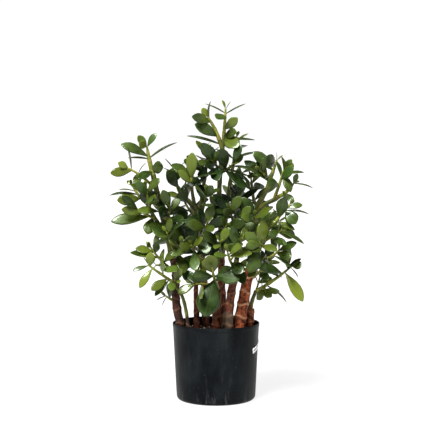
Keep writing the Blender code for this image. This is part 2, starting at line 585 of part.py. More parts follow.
def leaf_pose(number, twig, pair, side, move):
    """A leaf's matrix and length, or None where its pair would be below the twig's start."""
    _, _, place, tip, _, longest, azimuth, _ = twig
    spot, axis = axis_point(place, (PAIR_BELOW_TIP[pair] * longest + 1.5) * MM)
    if spot is None:
        return None, 0.0
    turn, opening, twist, size = move
    seed = (number, pair, side)
    angle = azimuth + 90 * (pair - 1) + 180 * side + 9 * wobble(*seed, 1) + turn
    tilt = PAIR_OPENING[pair] + 7 * wobble(*seed, 2) + opening
    roll = 24 * wobble(*seed, 3) + twist
    length = longest * PAIR_LENGTH[pair] * (1 + 0.09 * wobble(*seed, 4)) * size * MM
    across = Vector((1, 0, 0)) - axis * axis.x
    if across.length < 0.2:
        across = Vector((0, 0, -1)) + axis * axis.z
    across.normalize()
    depth = axis.cross(across)
    radial = across * math.cos(math.radians(angle)) + depth * math.sin(math.radians(angle))
    forward = axis * math.cos(math.radians(tilt)) + radial * math.sin(math.radians(tilt))
    upper = axis * math.sin(math.radians(tilt)) - radial * math.cos(math.radians(tilt))
    light = Vector((tip[0] / 2, tip[1] - LIGHT_MIDDLE, 0)).normalized() + Vector((0, 0, LIGHT_RISE))
    upper += light * LIGHT_PULL
    upper = (upper - forward * upper.dot(forward)).normalized()
    frame = Matrix((forward, upper.cross(forward), upper)).transposed().to_4x4()
    frame = frame @ Matrix.Rotation(math.radians(roll), 4, "X")
    frame.translation = spot + radial * 0.6 * MM
    return frame, length


def placed_pose(twig, share, tip, face, move):
    """A placed leaf's matrix and length."""
    twist, size = move
    base = twig[2](share)
    reach = mm(*tip) - base
    forward = reach.normalized()
    front = Vector((0, -1, 0)) + forward * forward.y
    front.normalize()
    aside = forward.cross(front)
    if aside.z < 0:
        aside.negate()
    turn = math.radians(face)
    upper = front * math.sin(turn) + aside * math.cos(turn)
    frame = Matrix((forward, upper.cross(forward), upper)).transposed().to_4x4()
    frame = frame @ Matrix.Rotation(math.radians(twist), 4, "X")
    frame.translation = base
    return frame, reach.length * size


def leaf_tree(frame, length, width_share, arch, inflate, keep_from=0.0):
    """A search tree of a leaf's faces, from a share of its length outwards."""
    leaf = leaf_shape(6, 8, length, width_share, arch, inflate)
    far = [face for face in leaf.faces if face.calc_center_median().x >= keep_from * length]
    points = [frame @ vert.co for vert in leaf.verts]
    faces = [[vert.index for vert in face.verts] for face in far]
    leaf.free()
    middle = frame @ Vector((length / 2, 0, 0))
    return BVHTree.FromPolygons(points, faces), middle, length * 0.6


def mesh_tree(mesh):
    points = [vert.co.copy() for vert in mesh.vertices]
    return BVHTree.FromPolygons(points, [list(face.vertices) for face in mesh.polygons])


def leaf_options(plan):
    """Each wanted leaf as (name, twig, width share, arch, poses to try), placed leaves first."""
    for index, (twig, share, tip, face, width_share) in enumerate(PLACED_LEAVES):
        poses = [placed_pose(plan[twig - 1], share, tip, face, move) for move in PLACED_MOVES]
        arch = LEAF_ARCH * (1 + 0.6 * wobble(index, twig, 6))
        yield f"placed leaf {index + 1} of twig {twig:02d}", twig - 1, width_share, arch, poses
    for number, twig in enumerate(plan):
        for pair in range(twig[4]):
            for side in (0, 1):
                poses = [leaf_pose(number, twig, pair, side, move) for move in LEAF_MOVES]
                if poses[0][0] is not None:
                    arch = LEAF_ARCH * (1 + 0.5 * wobble(number, pair, side, 5))
                    width_share = LEAF_WIDTH * (1 + 0.14 * wobble(number, pair, side, 6))
                    yield f"twig {number + 1:02d} pair {pair} side {side}", number, width_share, arch, poses


def grow_leaves(plan, obstacles, axes):
    """Every leaf that finds room, as (twig, frame, length, width share, arch)."""
    grown, taken = [], []
    missing = 0
    for name, number, width_share, arch, poses in leaf_options(plan):
        own = plan[number][0]
        for frame, length in poses:
            full, middle, reach = leaf_tree(frame, length, width_share, arch, 0.0005)
            blade, _, _ = leaf_tree(frame, length, width_share, arch, 0.0004, keep_from=0.3)
            clash = any(full.overlap(tree) for tree in obstacles)
            for other, tree in enumerate(axes):
                if clash:
                    break
                if other != number:
                    clash = bool((blade if plan[other][0] == own else full).overlap(tree))
            for other, tree, outer, centre, size in taken:
                if clash:
                    break
                if (centre - middle).length > reach + size:
                    continue
                clash = bool(blade.overlap(outer) if other == own else full.overlap(tree))
            if not clash:
                taken.append((own, full, blade, middle, reach))
                grown.append((number, frame, length, width_share, arch))
                break
        else:
            missing += 1
            print(f"{name} found no room")
    print(f"{len(grown)} leaves grown, {missing} left out")
    return grown


def report_crossings(plan, axes, obstacles):
    """Names twigs that cut through each other or through another stem, which the plan has to avoid."""
    for first, tree in enumerate(axes):
        for second in range(first + 1, len(axes)):
            if plan[first][0] != plan[second][0] and tree.overlap(axes[second]):
                print(f"twigs {first + 1:02d} and {second + 1:02d} cross")
        for name, stem_tree in obstacles.items():
            if (name != plan[first][1] or first >= len(SHOOTS)) and tree.overlap(stem_tree):
                print(f"twig {first + 1:02d} crosses {name}")


def build_shoots(where, finish):
    plan = plan_twigs()
    tubes = []
    for number, twig in enumerate(plan):
        place, thick = twig[2], twig[-1]
        points = [place(i / 4) for i in range(5)]
        radii = [(thick + (TWIG_TIP - thick) * (i / 4) ** 2.5) * MM for i in range(5)]
        tubes.append(tube_mesh(points, radii, 1, "twig"))
    axes = [mesh_tree(mesh) for mesh in tubes]
    obstacles = {name: mesh_tree(bpy.data.objects[name].data) for name in (*STEMS, "pot")}
    report_crossings(plan, axes, obstacles)
    leaves = grow_leaves(plan, obstacles.values(), axes)
    for shoot_number, spec in enumerate(SHOOTS):
        shoot = add_object(f"shoot_{shoot_number + 1:02d}", tubes[shoot_number], where, finish)
        pieces = []
        for number, twig in enumerate(plan):
            if twig[0] == shoot_number and number != shoot_number:
                pieces.append(add_object("twig", tubes[number], where))
        for number, frame, length, width_share, arch in leaves:
            if plan[number][0] == shoot_number:
                mesh = bpy.data.meshes.new("leaf")
                leaf = leaf_shape(4, 4, length, width_share, arch)
                leaf.transform(frame)
                leaf.to_mesh(mesh)
                leaf.free()
                pieces.append(add_object("leaf", mesh, where))
        combine(shoot, pieces, "UNION")
        swelled = [limb_mesh(points, "cutter", GAP) for points in STEMS[spec[0]]]
        cutters = [add_object("cutter", mesh, where) for mesh in swelled]
        combine(shoot, cutters, "DIFFERENCE")
        shoot.data.materials.clear()
        shoot.data.materials.append(finish)
        shade(shoot)


def main():
    clear_scene()
    parts = collection("potted_jade_plant")
    black_plastic = material("black_plastic", (0.020, 0.024, 0.027), 0.5)
    soil_brown = material("potting_mix", (0.045, 0.028, 0.018), 0.95)
    label_white = material("label_paper", (0.85, 0.85, 0.84), 0.6)
    bark = material("jade_bark", (0.16, 0.055, 0.028), 0.7)
    leaf_green = material("jade_leaf", (0.07, 0.17, 0.03), 0.35)
    build_pot(parts, black_plastic)
    soil = build_soil(parts, soil_brown)
    build_label(parts, label_white)
    for name, limbs in STEMS.items():
        build_stem(name, limbs, parts, bark)
    swelled = [limb_mesh(limbs[0], "socket", GAP) for limbs in STEMS.values()]
    sockets = [add_object("socket", mesh, parts) for mesh in swelled]
    combine(soil, sockets, "DIFFERENCE")
    soil.data.materials.clear()
    soil.data.materials.append(soil_brown)
    build_shoots(parts, leaf_green)


main()
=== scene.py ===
import math
from bisect import bisect_left

import bmesh
import bpy
from mathutils import Matrix, Vector, noise
from mathutils.kdtree import KDTree


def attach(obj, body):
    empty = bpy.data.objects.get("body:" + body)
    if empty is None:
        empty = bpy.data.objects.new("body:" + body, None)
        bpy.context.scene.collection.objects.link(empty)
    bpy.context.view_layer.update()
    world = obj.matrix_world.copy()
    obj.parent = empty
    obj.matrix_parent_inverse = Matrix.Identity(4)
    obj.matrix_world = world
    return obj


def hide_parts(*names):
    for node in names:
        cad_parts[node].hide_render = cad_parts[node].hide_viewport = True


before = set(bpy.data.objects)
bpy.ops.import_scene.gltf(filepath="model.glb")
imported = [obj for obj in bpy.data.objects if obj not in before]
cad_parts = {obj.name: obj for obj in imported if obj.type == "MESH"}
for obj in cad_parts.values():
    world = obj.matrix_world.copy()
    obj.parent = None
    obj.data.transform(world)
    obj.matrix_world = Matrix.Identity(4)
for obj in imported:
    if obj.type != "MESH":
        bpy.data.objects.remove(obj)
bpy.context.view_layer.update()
mm = 0.001

# Potted jade plant: a charcoal nursery pot of potting mix, ten rooted stems, and
# leafy shoots whose leaves sit where the model's leaves sit. Lengths in the
# dictionaries and tables are millimetres unless a note says otherwise.


def wobble(*numbers):  # a repeatable value from -1 to 1 for a set of whole numbers
    mixed = sum(n * k for n, k in zip(numbers, (12.9898, 78.233, 37.719, 4.581)))
    return 2 * ((math.sin(mixed) * 43758.5453) % 1.0) - 1


def spread(*numbers):  # the same, from 0 to 1
    return wobble(*numbers) / 2 + 0.5


def smoothstep(low, high, value):
    share = min(max((value - low) / (high - low), 0.0), 1.0)
    return share * share * (3 - 2 * share)


def bump(distance, width):
    return math.exp(-((distance / width) ** 2))


def setInput(node, name, value):  # links a socket, and sets anything else
    if isinstance(value, bpy.types.NodeSocket):
        node.id_data.links.new(value, node.inputs[name])
    else:
        node.inputs[name].default_value = value


def newMaterial(name, colour, roughness, specular):
    made = bpy.data.materials.new(name)
    made.use_nodes = True
    shader = made.node_tree.nodes["Principled BSDF"]
    setInput(shader, "Base Color", (*colour, 1.0))
    setInput(shader, "Roughness", roughness)
    setInput(shader, "Specular IOR Level", specular)
    return made, made.node_tree, shader


def addNode(tree, kind, inputs=None, **settings):
    made = tree.nodes.new("ShaderNode" + kind)
    for name, value in settings.items():
        setattr(made, name, value)
    for name, value in (inputs or {}).items():
        setInput(made, name, value)
    return made


def objectPlace(tree):
    return addNode(tree, "TexCoord").outputs["Object"]


def surfaceMap(tree, name):
    return addNode(tree, "UVMap", uv_map=name).outputs[0]


def axes(vector):
    return addNode(vector.id_data, "SeparateXYZ", {0: vector}).outputs


def attribute(tree, name):
    return addNode(tree, "Attribute", attribute_name=name).outputs["Fac"]


def noiseValue(vector, scale, detail, roughness=0.55, stretch=None):
    if stretch:
        vector = addNode(vector.id_data, "Mapping", {"Vector": vector, "Scale": stretch}).outputs[0]
    inputs = {"Vector": vector, "Scale": scale, "Detail": detail, "Roughness": roughness}
    return addNode(vector.id_data, "TexNoise", inputs).outputs["Fac"]


def rgba(colour):  # a colour or a grey with its alpha, or a socket as it is
    if isinstance(colour, bpy.types.NodeSocket):
        return colour
    return (colour, colour, colour, 1) if isinstance(colour, (int, float)) else (*colour, 1)


def ramp(value, *stops):  # stops are (position, colour or grey)
    made = addNode(value.id_data, "ValToRGB", {"Fac": value})
    while len(made.color_ramp.elements) < len(stops):
        made.color_ramp.elements.new(0.5)
    for element, (position, colour) in zip(made.color_ramp.elements, stops):
        element.position = position
        element.color = rgba(colour)
    return made.outputs["Color"]


def mixColour(factor, first, second):
    inputs = {0: factor, 6: rgba(first), 7: rgba(second)}
    return addNode(factor.id_data, "Mix", inputs, data_type="RGBA").outputs[2]


def maths(operation, first, second=0.0):
    return addNode(first.id_data, "Math", {0: first, 1: second}, operation=operation).outputs[0]


def add(first, second):
    return maths("ADD", first, second)


def times(first, second):
    return maths("MULTIPLY", first, second)


def distanceFrom(value, middle):
    return maths("ABSOLUTE", maths("SUBTRACT", value, middle))


def addBump(shader, height, distance, strength=1.0):  # the distance is in metres
    made = addNode(shader.id_data, "Bump", {"Height": height, "Distance": distance, "Strength": strength})
    setInput(shader, "Normal", made.outputs["Normal"])


def makeLeafMaterial():
    look = {
        "deep": (0.003, 0.011, 0.002),  # darkest leaf tone at random, and the colour of the painted shade inside the plant
        "green": (0.034, 0.078, 0.012),
        "olive": (0.07, 0.1, 0.01),
        "fresh": (0.155, 0.195, 0.017),
        "margin": (0.13, 0.165, 0.022),
        "underside": (0.05, 0.074, 0.013),
        "vein": (0.075, 0.115, 0.018),
        "tint": (0.8, 1.0, 0.68, 1.0),  # faintly green reflections
        "outerCoat": 0.3,  # wax coat on the outer leaves, and the thinner coat on those deep inside, lowered there as part of the painted shade
        "innerCoat": 0.03,
        "coatRoughness": 0.1,
    }
    made, tree, shader = newMaterial("jadeLeaf", look["green"], roughness=0.3, specular=0.28)
    setInput(shader, "Specular Tint", look["tint"])
    setInput(shader, "Coat Roughness", look["coatRoughness"])
    place = objectPlace(tree)
    across = distanceFrom(axes(surfaceMap(tree, "leafMap"))[0], 0.5)  # midrib 0, edge 0.5
    mottle = noiseValue(place, 90, 2)
    cloud = noiseValue(place, 26, 2)
    tone = add(times(mottle, 0.25), times(cloud, 0.75))
    tone = add(tone, attribute(tree, "leafTone"))
    colour = mixColour(attribute(tree, "warmth"), look["green"], look["olive"])
    colour = mixColour(ramp(tone, (0.34, 0.0), (0.74, 1.0)), look["deep"], colour)
    colour = mixColour(attribute(tree, "youth"), colour, look["fresh"])
    colour = mixColour(ramp(across, (0.0, 0.35), (0.045, 0.0)), colour, look["vein"])
    under = ramp(attribute(tree, "upperFace"), (0.3, 0.65), (0.5, 0.0))
    colour = mixColour(under, colour, look["underside"])
    edge = ramp(across, (0.465, 0.0), (0.497, 0.6))
    colour = mixColour(edge, colour, look["margin"])
    # painted shade: leaves inside the plant darken to the deep colour and lose most of their coat
    shade = attribute(tree, "shade")
    setInput(shader, "Base Color", mixColour(shade, colour, look["deep"]))
    coat = ramp(shade, (0.0, look["outerCoat"]), (0.9, look["innerCoat"]))
    setInput(shader, "Coat Weight", coat)
    setInput(shader, "Roughness", ramp(cloud, (0.3, 0.24), (0.75, 0.4)))
    addBump(shader, add(noiseValue(place, 300, 1), mottle), distance=0.00012)
    return made


def makeStemMaterial():
    look = {
        "darkBark": (0.012, 0.0045, 0.0035),
        "wornDark": (0.06, 0.018, 0.01),
        "redBark": (0.36, 0.08, 0.022),
        "redFurrow": (0.02, 0.004, 0.002),
        "greyBark": (0.135, 0.092, 0.058),
        "greyFurrow": (0.04, 0.022, 0.012),
        "scar": (0.64, 0.33, 0.17),
        "youngStem": (0.25, 0.265, 0.03),
        "oliveStem": (0.105, 0.13, 0.016),
        "youngFleck": (0.3, 0.22, 0.07),
        "shaded": (0.014, 0.02, 0.004),
    }
    made, tree, shader = newMaterial("jadeStem", look["redBark"], roughness=0.6, specular=0.25)
    place = objectPlace(tree)
    streaks = noiseValue(surfaceMap(tree, "stemMap"), 1.0, 5, 0.65, stretch=(9, 60, 1))
    blotch = noiseValue(place, 55, 3)
    grain = noiseValue(place, 260, 4, 0.7)
    worn = add(times(streaks, 0.6), times(grain, 0.4))
    red = mixColour(ramp(worn, (0.43, 0.0), (0.57, 1.0)), look["redFurrow"], look["redBark"])
    red = mixColour(ramp(grain, (0.6, 0.0), (0.74, 0.6)), red, look["scar"])
    dark = mixColour(ramp(worn, (0.44, 0.0), (0.66, 1.0)), look["darkBark"], look["wornDark"])
    bark = mixColour(attribute(tree, "redness"), dark, red)
    grey = mixColour(ramp(worn, (0.35, 0.0), (0.65, 1.0)), look["greyFurrow"], look["greyBark"])
    bark = mixColour(attribute(tree, "greyness"), bark, grey)
    young = ramp(blotch, (0.35, 0.0), (0.68, 1.0))
    green = mixColour(young, look["oliveStem"], look["youngStem"])
    green = mixColour(ramp(grain, (0.62, 0.0), (0.75, 0.5)), green, look["youngFleck"])
    wood = add(attribute(tree, "woodiness"), times(streaks, 0.5))
    colour = mixColour(ramp(wood, (0.62, 0.0), (0.88, 1.0)), green, bark)
    broken = ramp(streaks, (0.2, 0.5), (0.6, 1.0))
    colour = mixColour(times(attribute(tree, "nodeRing"), broken), colour, look["scar"])
    # painted shade: stems and twigs inside the plant darken to the shaded colour
    colour = mixColour(attribute(tree, "shade"), colour, look["shaded"])
    setInput(shader, "Base Color", colour)
    setInput(shader, "Roughness", ramp(wood, (0.6, 0.36), (0.9, 0.72)))
    addBump(shader, add(worn, times(grain, 0.6)), distance=0.0011, strength=0.8)
    return made


def makePotMaterial():
    look = {
        "plastic": (0.0007, 0.0014, 0.0021),
        "faded": (0.0062, 0.0084, 0.0094),
        "dust": (0.1, 0.1, 0.098),
    }
    made, tree, shader = newMaterial("nurseryPlastic", look["plastic"], roughness=0.4, specular=0.08)
    place = objectPlace(tree)
    cloud = noiseValue(place, 18, 5, stretch=(1, 1, 0.6))
    rubs = noiseValue(place, 60, 6, 0.7, stretch=(1, 1, 0.18))
    specks = noiseValue(place, 330, 2)
    height = times(axes(place)[2], 6.0)  # about 1 at the rim
    lowBand = ramp(height, (0.02, 0.7), (0.16, 0.22), (0.4, 0.05), (0.9, 0.07))
    colour = mixColour(ramp(cloud, (0.42, 0.0), (0.66, 1.0)), look["plastic"], look["faded"])
    dusty = times(ramp(rubs, (0.52, 0.0), (0.7, 1.0)), lowBand)
    colour = mixColour(dusty, colour, look["dust"])
    colour = mixColour(ramp(specks, (0.68, 0.0), (0.76, 0.25)), colour, look["dust"])
    setInput(shader, "Base Color", colour)
    rubbed = add(rubs, times(cloud, 0.3))
    setInput(shader, "Roughness", ramp(rubbed, (0.45, 0.34), (0.95, 0.6)))
    addBump(shader, add(specks, times(rubs, 1.4)), distance=0.00035, strength=0.6)
    return made


def makeMixMaterial():
    look = {
        "wet": (0.01, 0.006, 0.004),
        "damp": (0.038, 0.022, 0.014),
        "dry": (0.105, 0.062, 0.036),
    }
    made, tree, shader = newMaterial("pottingMix", (0.03, 0.018, 0.012), roughness=0.95, specular=0.2)
    crumbs = noiseValue(objectPlace(tree), 240, 6, 0.75)
    colour = ramp(crumbs, (0.32, look["wet"]), (0.55, look["damp"]), (0.72, look["dry"]))
    setInput(shader, "Base Color", colour)
    addBump(shader, crumbs, distance=0.0022)
    return made


def makeChipMaterial():
    look = {
        "darkChip": (0.03, 0.014, 0.008),
        "paleChip": (0.19, 0.095, 0.048),
        "dullPerlite": (0.5, 0.47, 0.42),
        "perlite": (0.72, 0.7, 0.66),
    }
    made, tree, shader = newMaterial("barkChips", (0.12, 0.06, 0.03), roughness=0.85, specular=0.25)
    fibre = noiseValue(objectPlace(tree), 190, 5, 0.7, stretch=(1, 2.5, 3))
    brown = ramp(fibre, (0.3, look["darkChip"]), (0.72, look["paleChip"]))
    pale = mixColour(fibre, look["dullPerlite"], look["perlite"])
    setInput(shader, "Base Color", mixColour(attribute(tree, "perlite"), brown, pale))
    addBump(shader, fibre, distance=0.0009, strength=0.9)
    return made


def makeLabelMaterial():
    look = {
        "paper": (0.84, 0.84, 0.83),
        "dullPaper": (0.74, 0.74, 0.73),
        "bar": (0.03, 0.03, 0.035),
        "barHeight": 0.11,  # the bar's half sizes, as shares of the sticker
        "barLength": 0.43,
    }
    made, tree, shader = newMaterial("stickerPaper", (0.8, 0.8, 0.79), roughness=0.45, specular=0.4)
    along, up, _ = axes(surfaceMap(tree, "labelMap"))
    paper = mixColour(noiseValue(objectPlace(tree), 500, 3), look["dullPaper"], look["paper"])
    level = maths("LESS_THAN", distanceFrom(up, 0.52), look["barHeight"])
    reach = maths("LESS_THAN", distanceFrom(along, 0.5), look["barLength"])
    setInput(shader, "Base Color", mixColour(times(level, reach), paper, look["bar"]))
    return made


leafMaterial = makeLeafMaterial()
stemMaterial = makeStemMaterial()
potMaterial = makePotMaterial()
mixMaterial = makeMixMaterial()
chipMaterial = makeChipMaterial()
labelMaterial = makeLabelMaterial()
print("materials made")


def makeMesh(name, cage):
    mesh = bpy.data.meshes.new(name)
    cage.to_mesh(mesh)
    cage.free()
    return mesh


def addToScene(name, data):
    made = bpy.data.objects.new(name, data)
    bpy.context.scene.collection.objects.link(made)
    return made


def finishPiece(name, cage, material, slotName, *nodes):
    mesh = makeMesh(name, cage)
    mesh.shade_smooth()
    mesh.materials.append(material)
    piece = addToScene(name, mesh)
    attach(piece, "root")
    if nodes:
        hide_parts(*nodes)
    return piece


pot = {
    "rimRadius": 95.0,
    "height": 168.0,
    "taper": 8.5,
    "wall": 2.0,
    "floor": 3.0,
    "corner": 9.0,  # radius of the rounded foot
    "rimLip": 0.4,
    "bandFoot": 159.0,  # where the rim's band starts
    "hollow": 1.2,  # the underside stands clear of the ground inside its foot ring
    "hollowRadius": 70.0,
    "turns": 128,
    "drainHoles": 4,
    "drainRadius": 6.0,
    "drainCircle": 58.0,
}


def wallRadius(height):
    return pot["rimRadius"] - pot["rimLip"] - pot["taper"] * (pot["height"] - height) / pot["height"]


def lathe(profile, turns):  # the profile is (radius, height), from the underside round to the top
    cage = bmesh.new()
    corners = [cage.verts.new(Vector((r, 0, z)) * mm) for r, z in profile]
    edges = [cage.edges.new(pair) for pair in zip(corners, corners[1:])]
    bmesh.ops.spin(cage, geom=corners + edges, cent=(0, 0, 0), axis=(0, 0, 1), angle=math.tau,
                   steps=turns, use_merge=True)
    bmesh.ops.remove_doubles(cage, verts=cage.verts, dist=0.000005)
    bmesh.ops.recalc_face_normals(cage, faces=cage.faces)
    return cage


def outerWall():  # from the foot's corner up to the rim's inner edge
    top, lip, foot, corner = pot["height"], pot["rimRadius"], pot["bandFoot"], pot["corner"]
    middle = wallRadius(corner) - corner
    turns = [math.radians(90 * i / 8) for i in range(9)]
    profile = [(middle + corner * math.sin(a), corner - corner * math.cos(a)) for a in turns]
    profile += [(wallRadius(h), h) for h in (30, 60, 90, 120, 145, foot - 0.6, foot)]
    profile += [(wallRadius(foot + 0.6) + 0.5, foot + 0.6), (lip - 0.2, foot + 1.4), (lip, foot + 2.2)]
    profile += [(lip, top - 1.0), (lip - 0.3, top - 0.3), (lip - 0.9, top), (lip - 1.9, top)]
    return profile + [(lip - 2.6, top - 0.3), (wallRadius(top) - pot["wall"], top - 1.2)]


def drainCutter():
    holes = bmesh.new()
    radius = pot["drainRadius"] * mm
    for number in range(pot["drainHoles"]):
        angle = math.tau * number / pot["drainHoles"]
        middle = Vector((math.cos(angle), math.sin(angle), 0)) * pot["drainCircle"] * mm
        bmesh.ops.create_cone(holes, cap_ends=True, segments=24, radius1=radius, radius2=radius, depth=0.02,
                              matrix=Matrix.Translation(middle))
    return addToScene("drainCutter", makeMesh("drainCutter", holes))


def buildPot():
    floor, hollow, ring = pot["floor"], pot["hollow"], pot["hollowRadius"]
    inner = wallRadius(pot["corner"]) - pot["wall"]
    profile = [(0, hollow), (ring, hollow), (ring + 2, 0.2), (ring + 4, 0), *outerWall()]
    profile += [(inner, floor + 6), (inner - 1.8, floor + 1.8), (inner - 6, floor), (0, floor)]
    piece = finishPiece("nurseryPot", lathe(profile, pot["turns"]), potMaterial, "pot_plastic", "pot")
    cut = piece.modifiers.new("drainHoles", "BOOLEAN")
    cut.object = drainCutter()
    cut.solver = "EXACT"
    bpy.context.view_layer.update()
    mesh = bpy.data.meshes.new_from_object(piece.evaluated_get(bpy.context.evaluated_depsgraph_get()))
    bpy.data.objects.remove(cut.object)
    piece.modifiers.clear()
    piece.data = mesh
    mesh.set_sharp_from_angle(angle=math.radians(35))


label = {
    "length": 62.0,
    "height": 11.0,
    "thickness": 0.5,
    "gap": 0.35,
    "azimuth": 78.0,  # degrees from the front towards the right
    "middle": 119.0,
    "tilt": 14.0,
}


def buildLabel():
    cage = bmesh.new()
    labelMap = cage.loops.layers.uv.new("labelMap")
    bmesh.ops.create_grid(cage, x_segments=24, y_segments=4, size=0.5)
    tilt = math.radians(label["tilt"])
    for face in cage.faces:
        for loop in face.loops:
            loop[labelMap].uv = loop.vert.co.xy + Vector((0.5, 0.5))
    for vert in cage.verts:
        along, up = vert.co.x * label["length"], vert.co.y * label["height"]
        level = label["middle"] + along * math.sin(tilt) + up * math.cos(tilt)
        radius = wallRadius(level) + label["gap"]
        turn = (along * math.cos(tilt) - up * math.sin(tilt)) / radius
        angle = math.radians(label["azimuth"] - 90) + turn
        vert.co = Vector((radius * math.cos(angle), radius * math.sin(angle), level)) * mm
    bmesh.ops.recalc_face_normals(cage, faces=cage.faces)
    face = next(iter(cage.faces))
    if face.normal.dot(face.calc_center_median()) < 0:
        bmesh.ops.reverse_faces(cage, faces=cage.faces)
    piece = finishPiece("potSticker", cage, labelMaterial, "label_paper", "pot_label")
    skin = piece.modifiers.new("paper", "SOLIDIFY")
    skin.thickness = label["thickness"] * mm
    skin.offset = 1.0


soil = {
    "top": 150.0,
    "crown": 4.0,
    "shoulder": 0.7,  # share of the radius where the crown ends
    "shoulderRise": 1.5,
    "edgeDrop": 2.5,
    "gap": 0.35,
    "corner": 6.3,
    "turns": 96,
    "rings": 26,
    "lumps": 1.6,
    "lumpScales": (130, 330),
    "chips": 330,
    "chipSize": (2.2, 3.4),  # the smallest, and what chance adds
    "perlite": 120,
    "perliteSize": (1.1, 1.1),
}


def soilEdge(height):
    return wallRadius(height) - pot["wall"] - soil["gap"]


def soilHeight(radius):
    edge, rise = soilEdge(soil["top"]), soil["shoulderRise"]
    shoulder = edge * soil["shoulder"]
    if radius > shoulder:
        return soil["top"] + rise - soil["edgeDrop"] * (radius - shoulder) / (edge - shoulder)
    return soil["top"] + soil["crown"] - (soil["crown"] - rise) * radius / shoulder


def buildSoil():
    edge, low, corner = soilEdge(soil["top"]), soilEdge(pot["corner"]), soil["corner"]
    base = pot["floor"] + soil["gap"]
    rings = [edge * (1 - i / soil["rings"]) for i in range(soil["rings"] + 1)]
    profile = [(0, base), (low - corner, base), (low, base + corner), (edge - 0.2, soil["top"] - 4)]
    cage = lathe(profile + [(r, soilHeight(r)) for r in rings], soil["turns"])
    coarse, fine = soil["lumpScales"]
    for vert in cage.verts:
        if vert.co.z > (soil["top"] - 1.5) * mm:
            lump = noise.noise(vert.co * coarse) + 0.6 * noise.noise(vert.co * fine)
            inside = 1 - smoothstep(0.96, 1.0, vert.co.xy.length / (edge * mm))
            vert.co.z += soil["lumps"] * mm * lump * (0.35 + 0.65 * inside)
    finishPiece("pottingMix", cage, mixMaterial, "potting_mix", "potting_soil")


def buildChips():
    cage = bmesh.new()
    perlite = cage.verts.layers.float.new("perlite")
    edge = soilEdge(soil["top"]) - 4
    stems = [Vector(limbs[0][1][:2]) for limbs in stemPlan]
    reach = [limbs[0][1][3] for limbs in stemPlan]
    for number in range(soil["chips"] + soil["perlite"]):
        pale = number >= soil["chips"]
        radius = edge * math.sqrt(spread(number, 1, 0, 0))
        angle = math.tau * spread(number, 2, 0, 0)
        spot = Vector((radius * math.cos(angle), radius * math.sin(angle)))
        smallest, more = soil["perliteSize"] if pale else soil["chipSize"]
        size = smallest + more * spread(number, 3)
        if any((spot - stem).length < limit + size * 0.6 for stem, limit in zip(stems, reach)):
            continue
        made = bmesh.ops.create_icosphere(cage, subdivisions=1, radius=1)["verts"]
        flat = (1, 0.9, 0.8) if pale else (1, 0.45 + 0.3 * spread(number, 4), 0.28)
        place = Matrix.Translation(Vector((*spot, soilHeight(radius) + 0.5)) * mm)
        place = place @ Matrix.Rotation(math.tau * spread(number, 5), 4, "Z")
        place = place @ Matrix.Rotation(0.7 * wobble(number, 6), 4, "X")
        place = place @ Matrix.Diagonal((*(size * mm * s for s in flat), 1))
        for index, vert in enumerate(made):
            vert.co *= 1 + 0.3 * wobble(number, index, 7)
            vert[perlite] = 1.0 if pale else 0.0
        bmesh.ops.transform(cage, matrix=place, verts=made)
    piece = finishPiece("barkChipsAndPerlite", cage, chipMaterial, "potting_mix")
    piece.data.shade_flat()


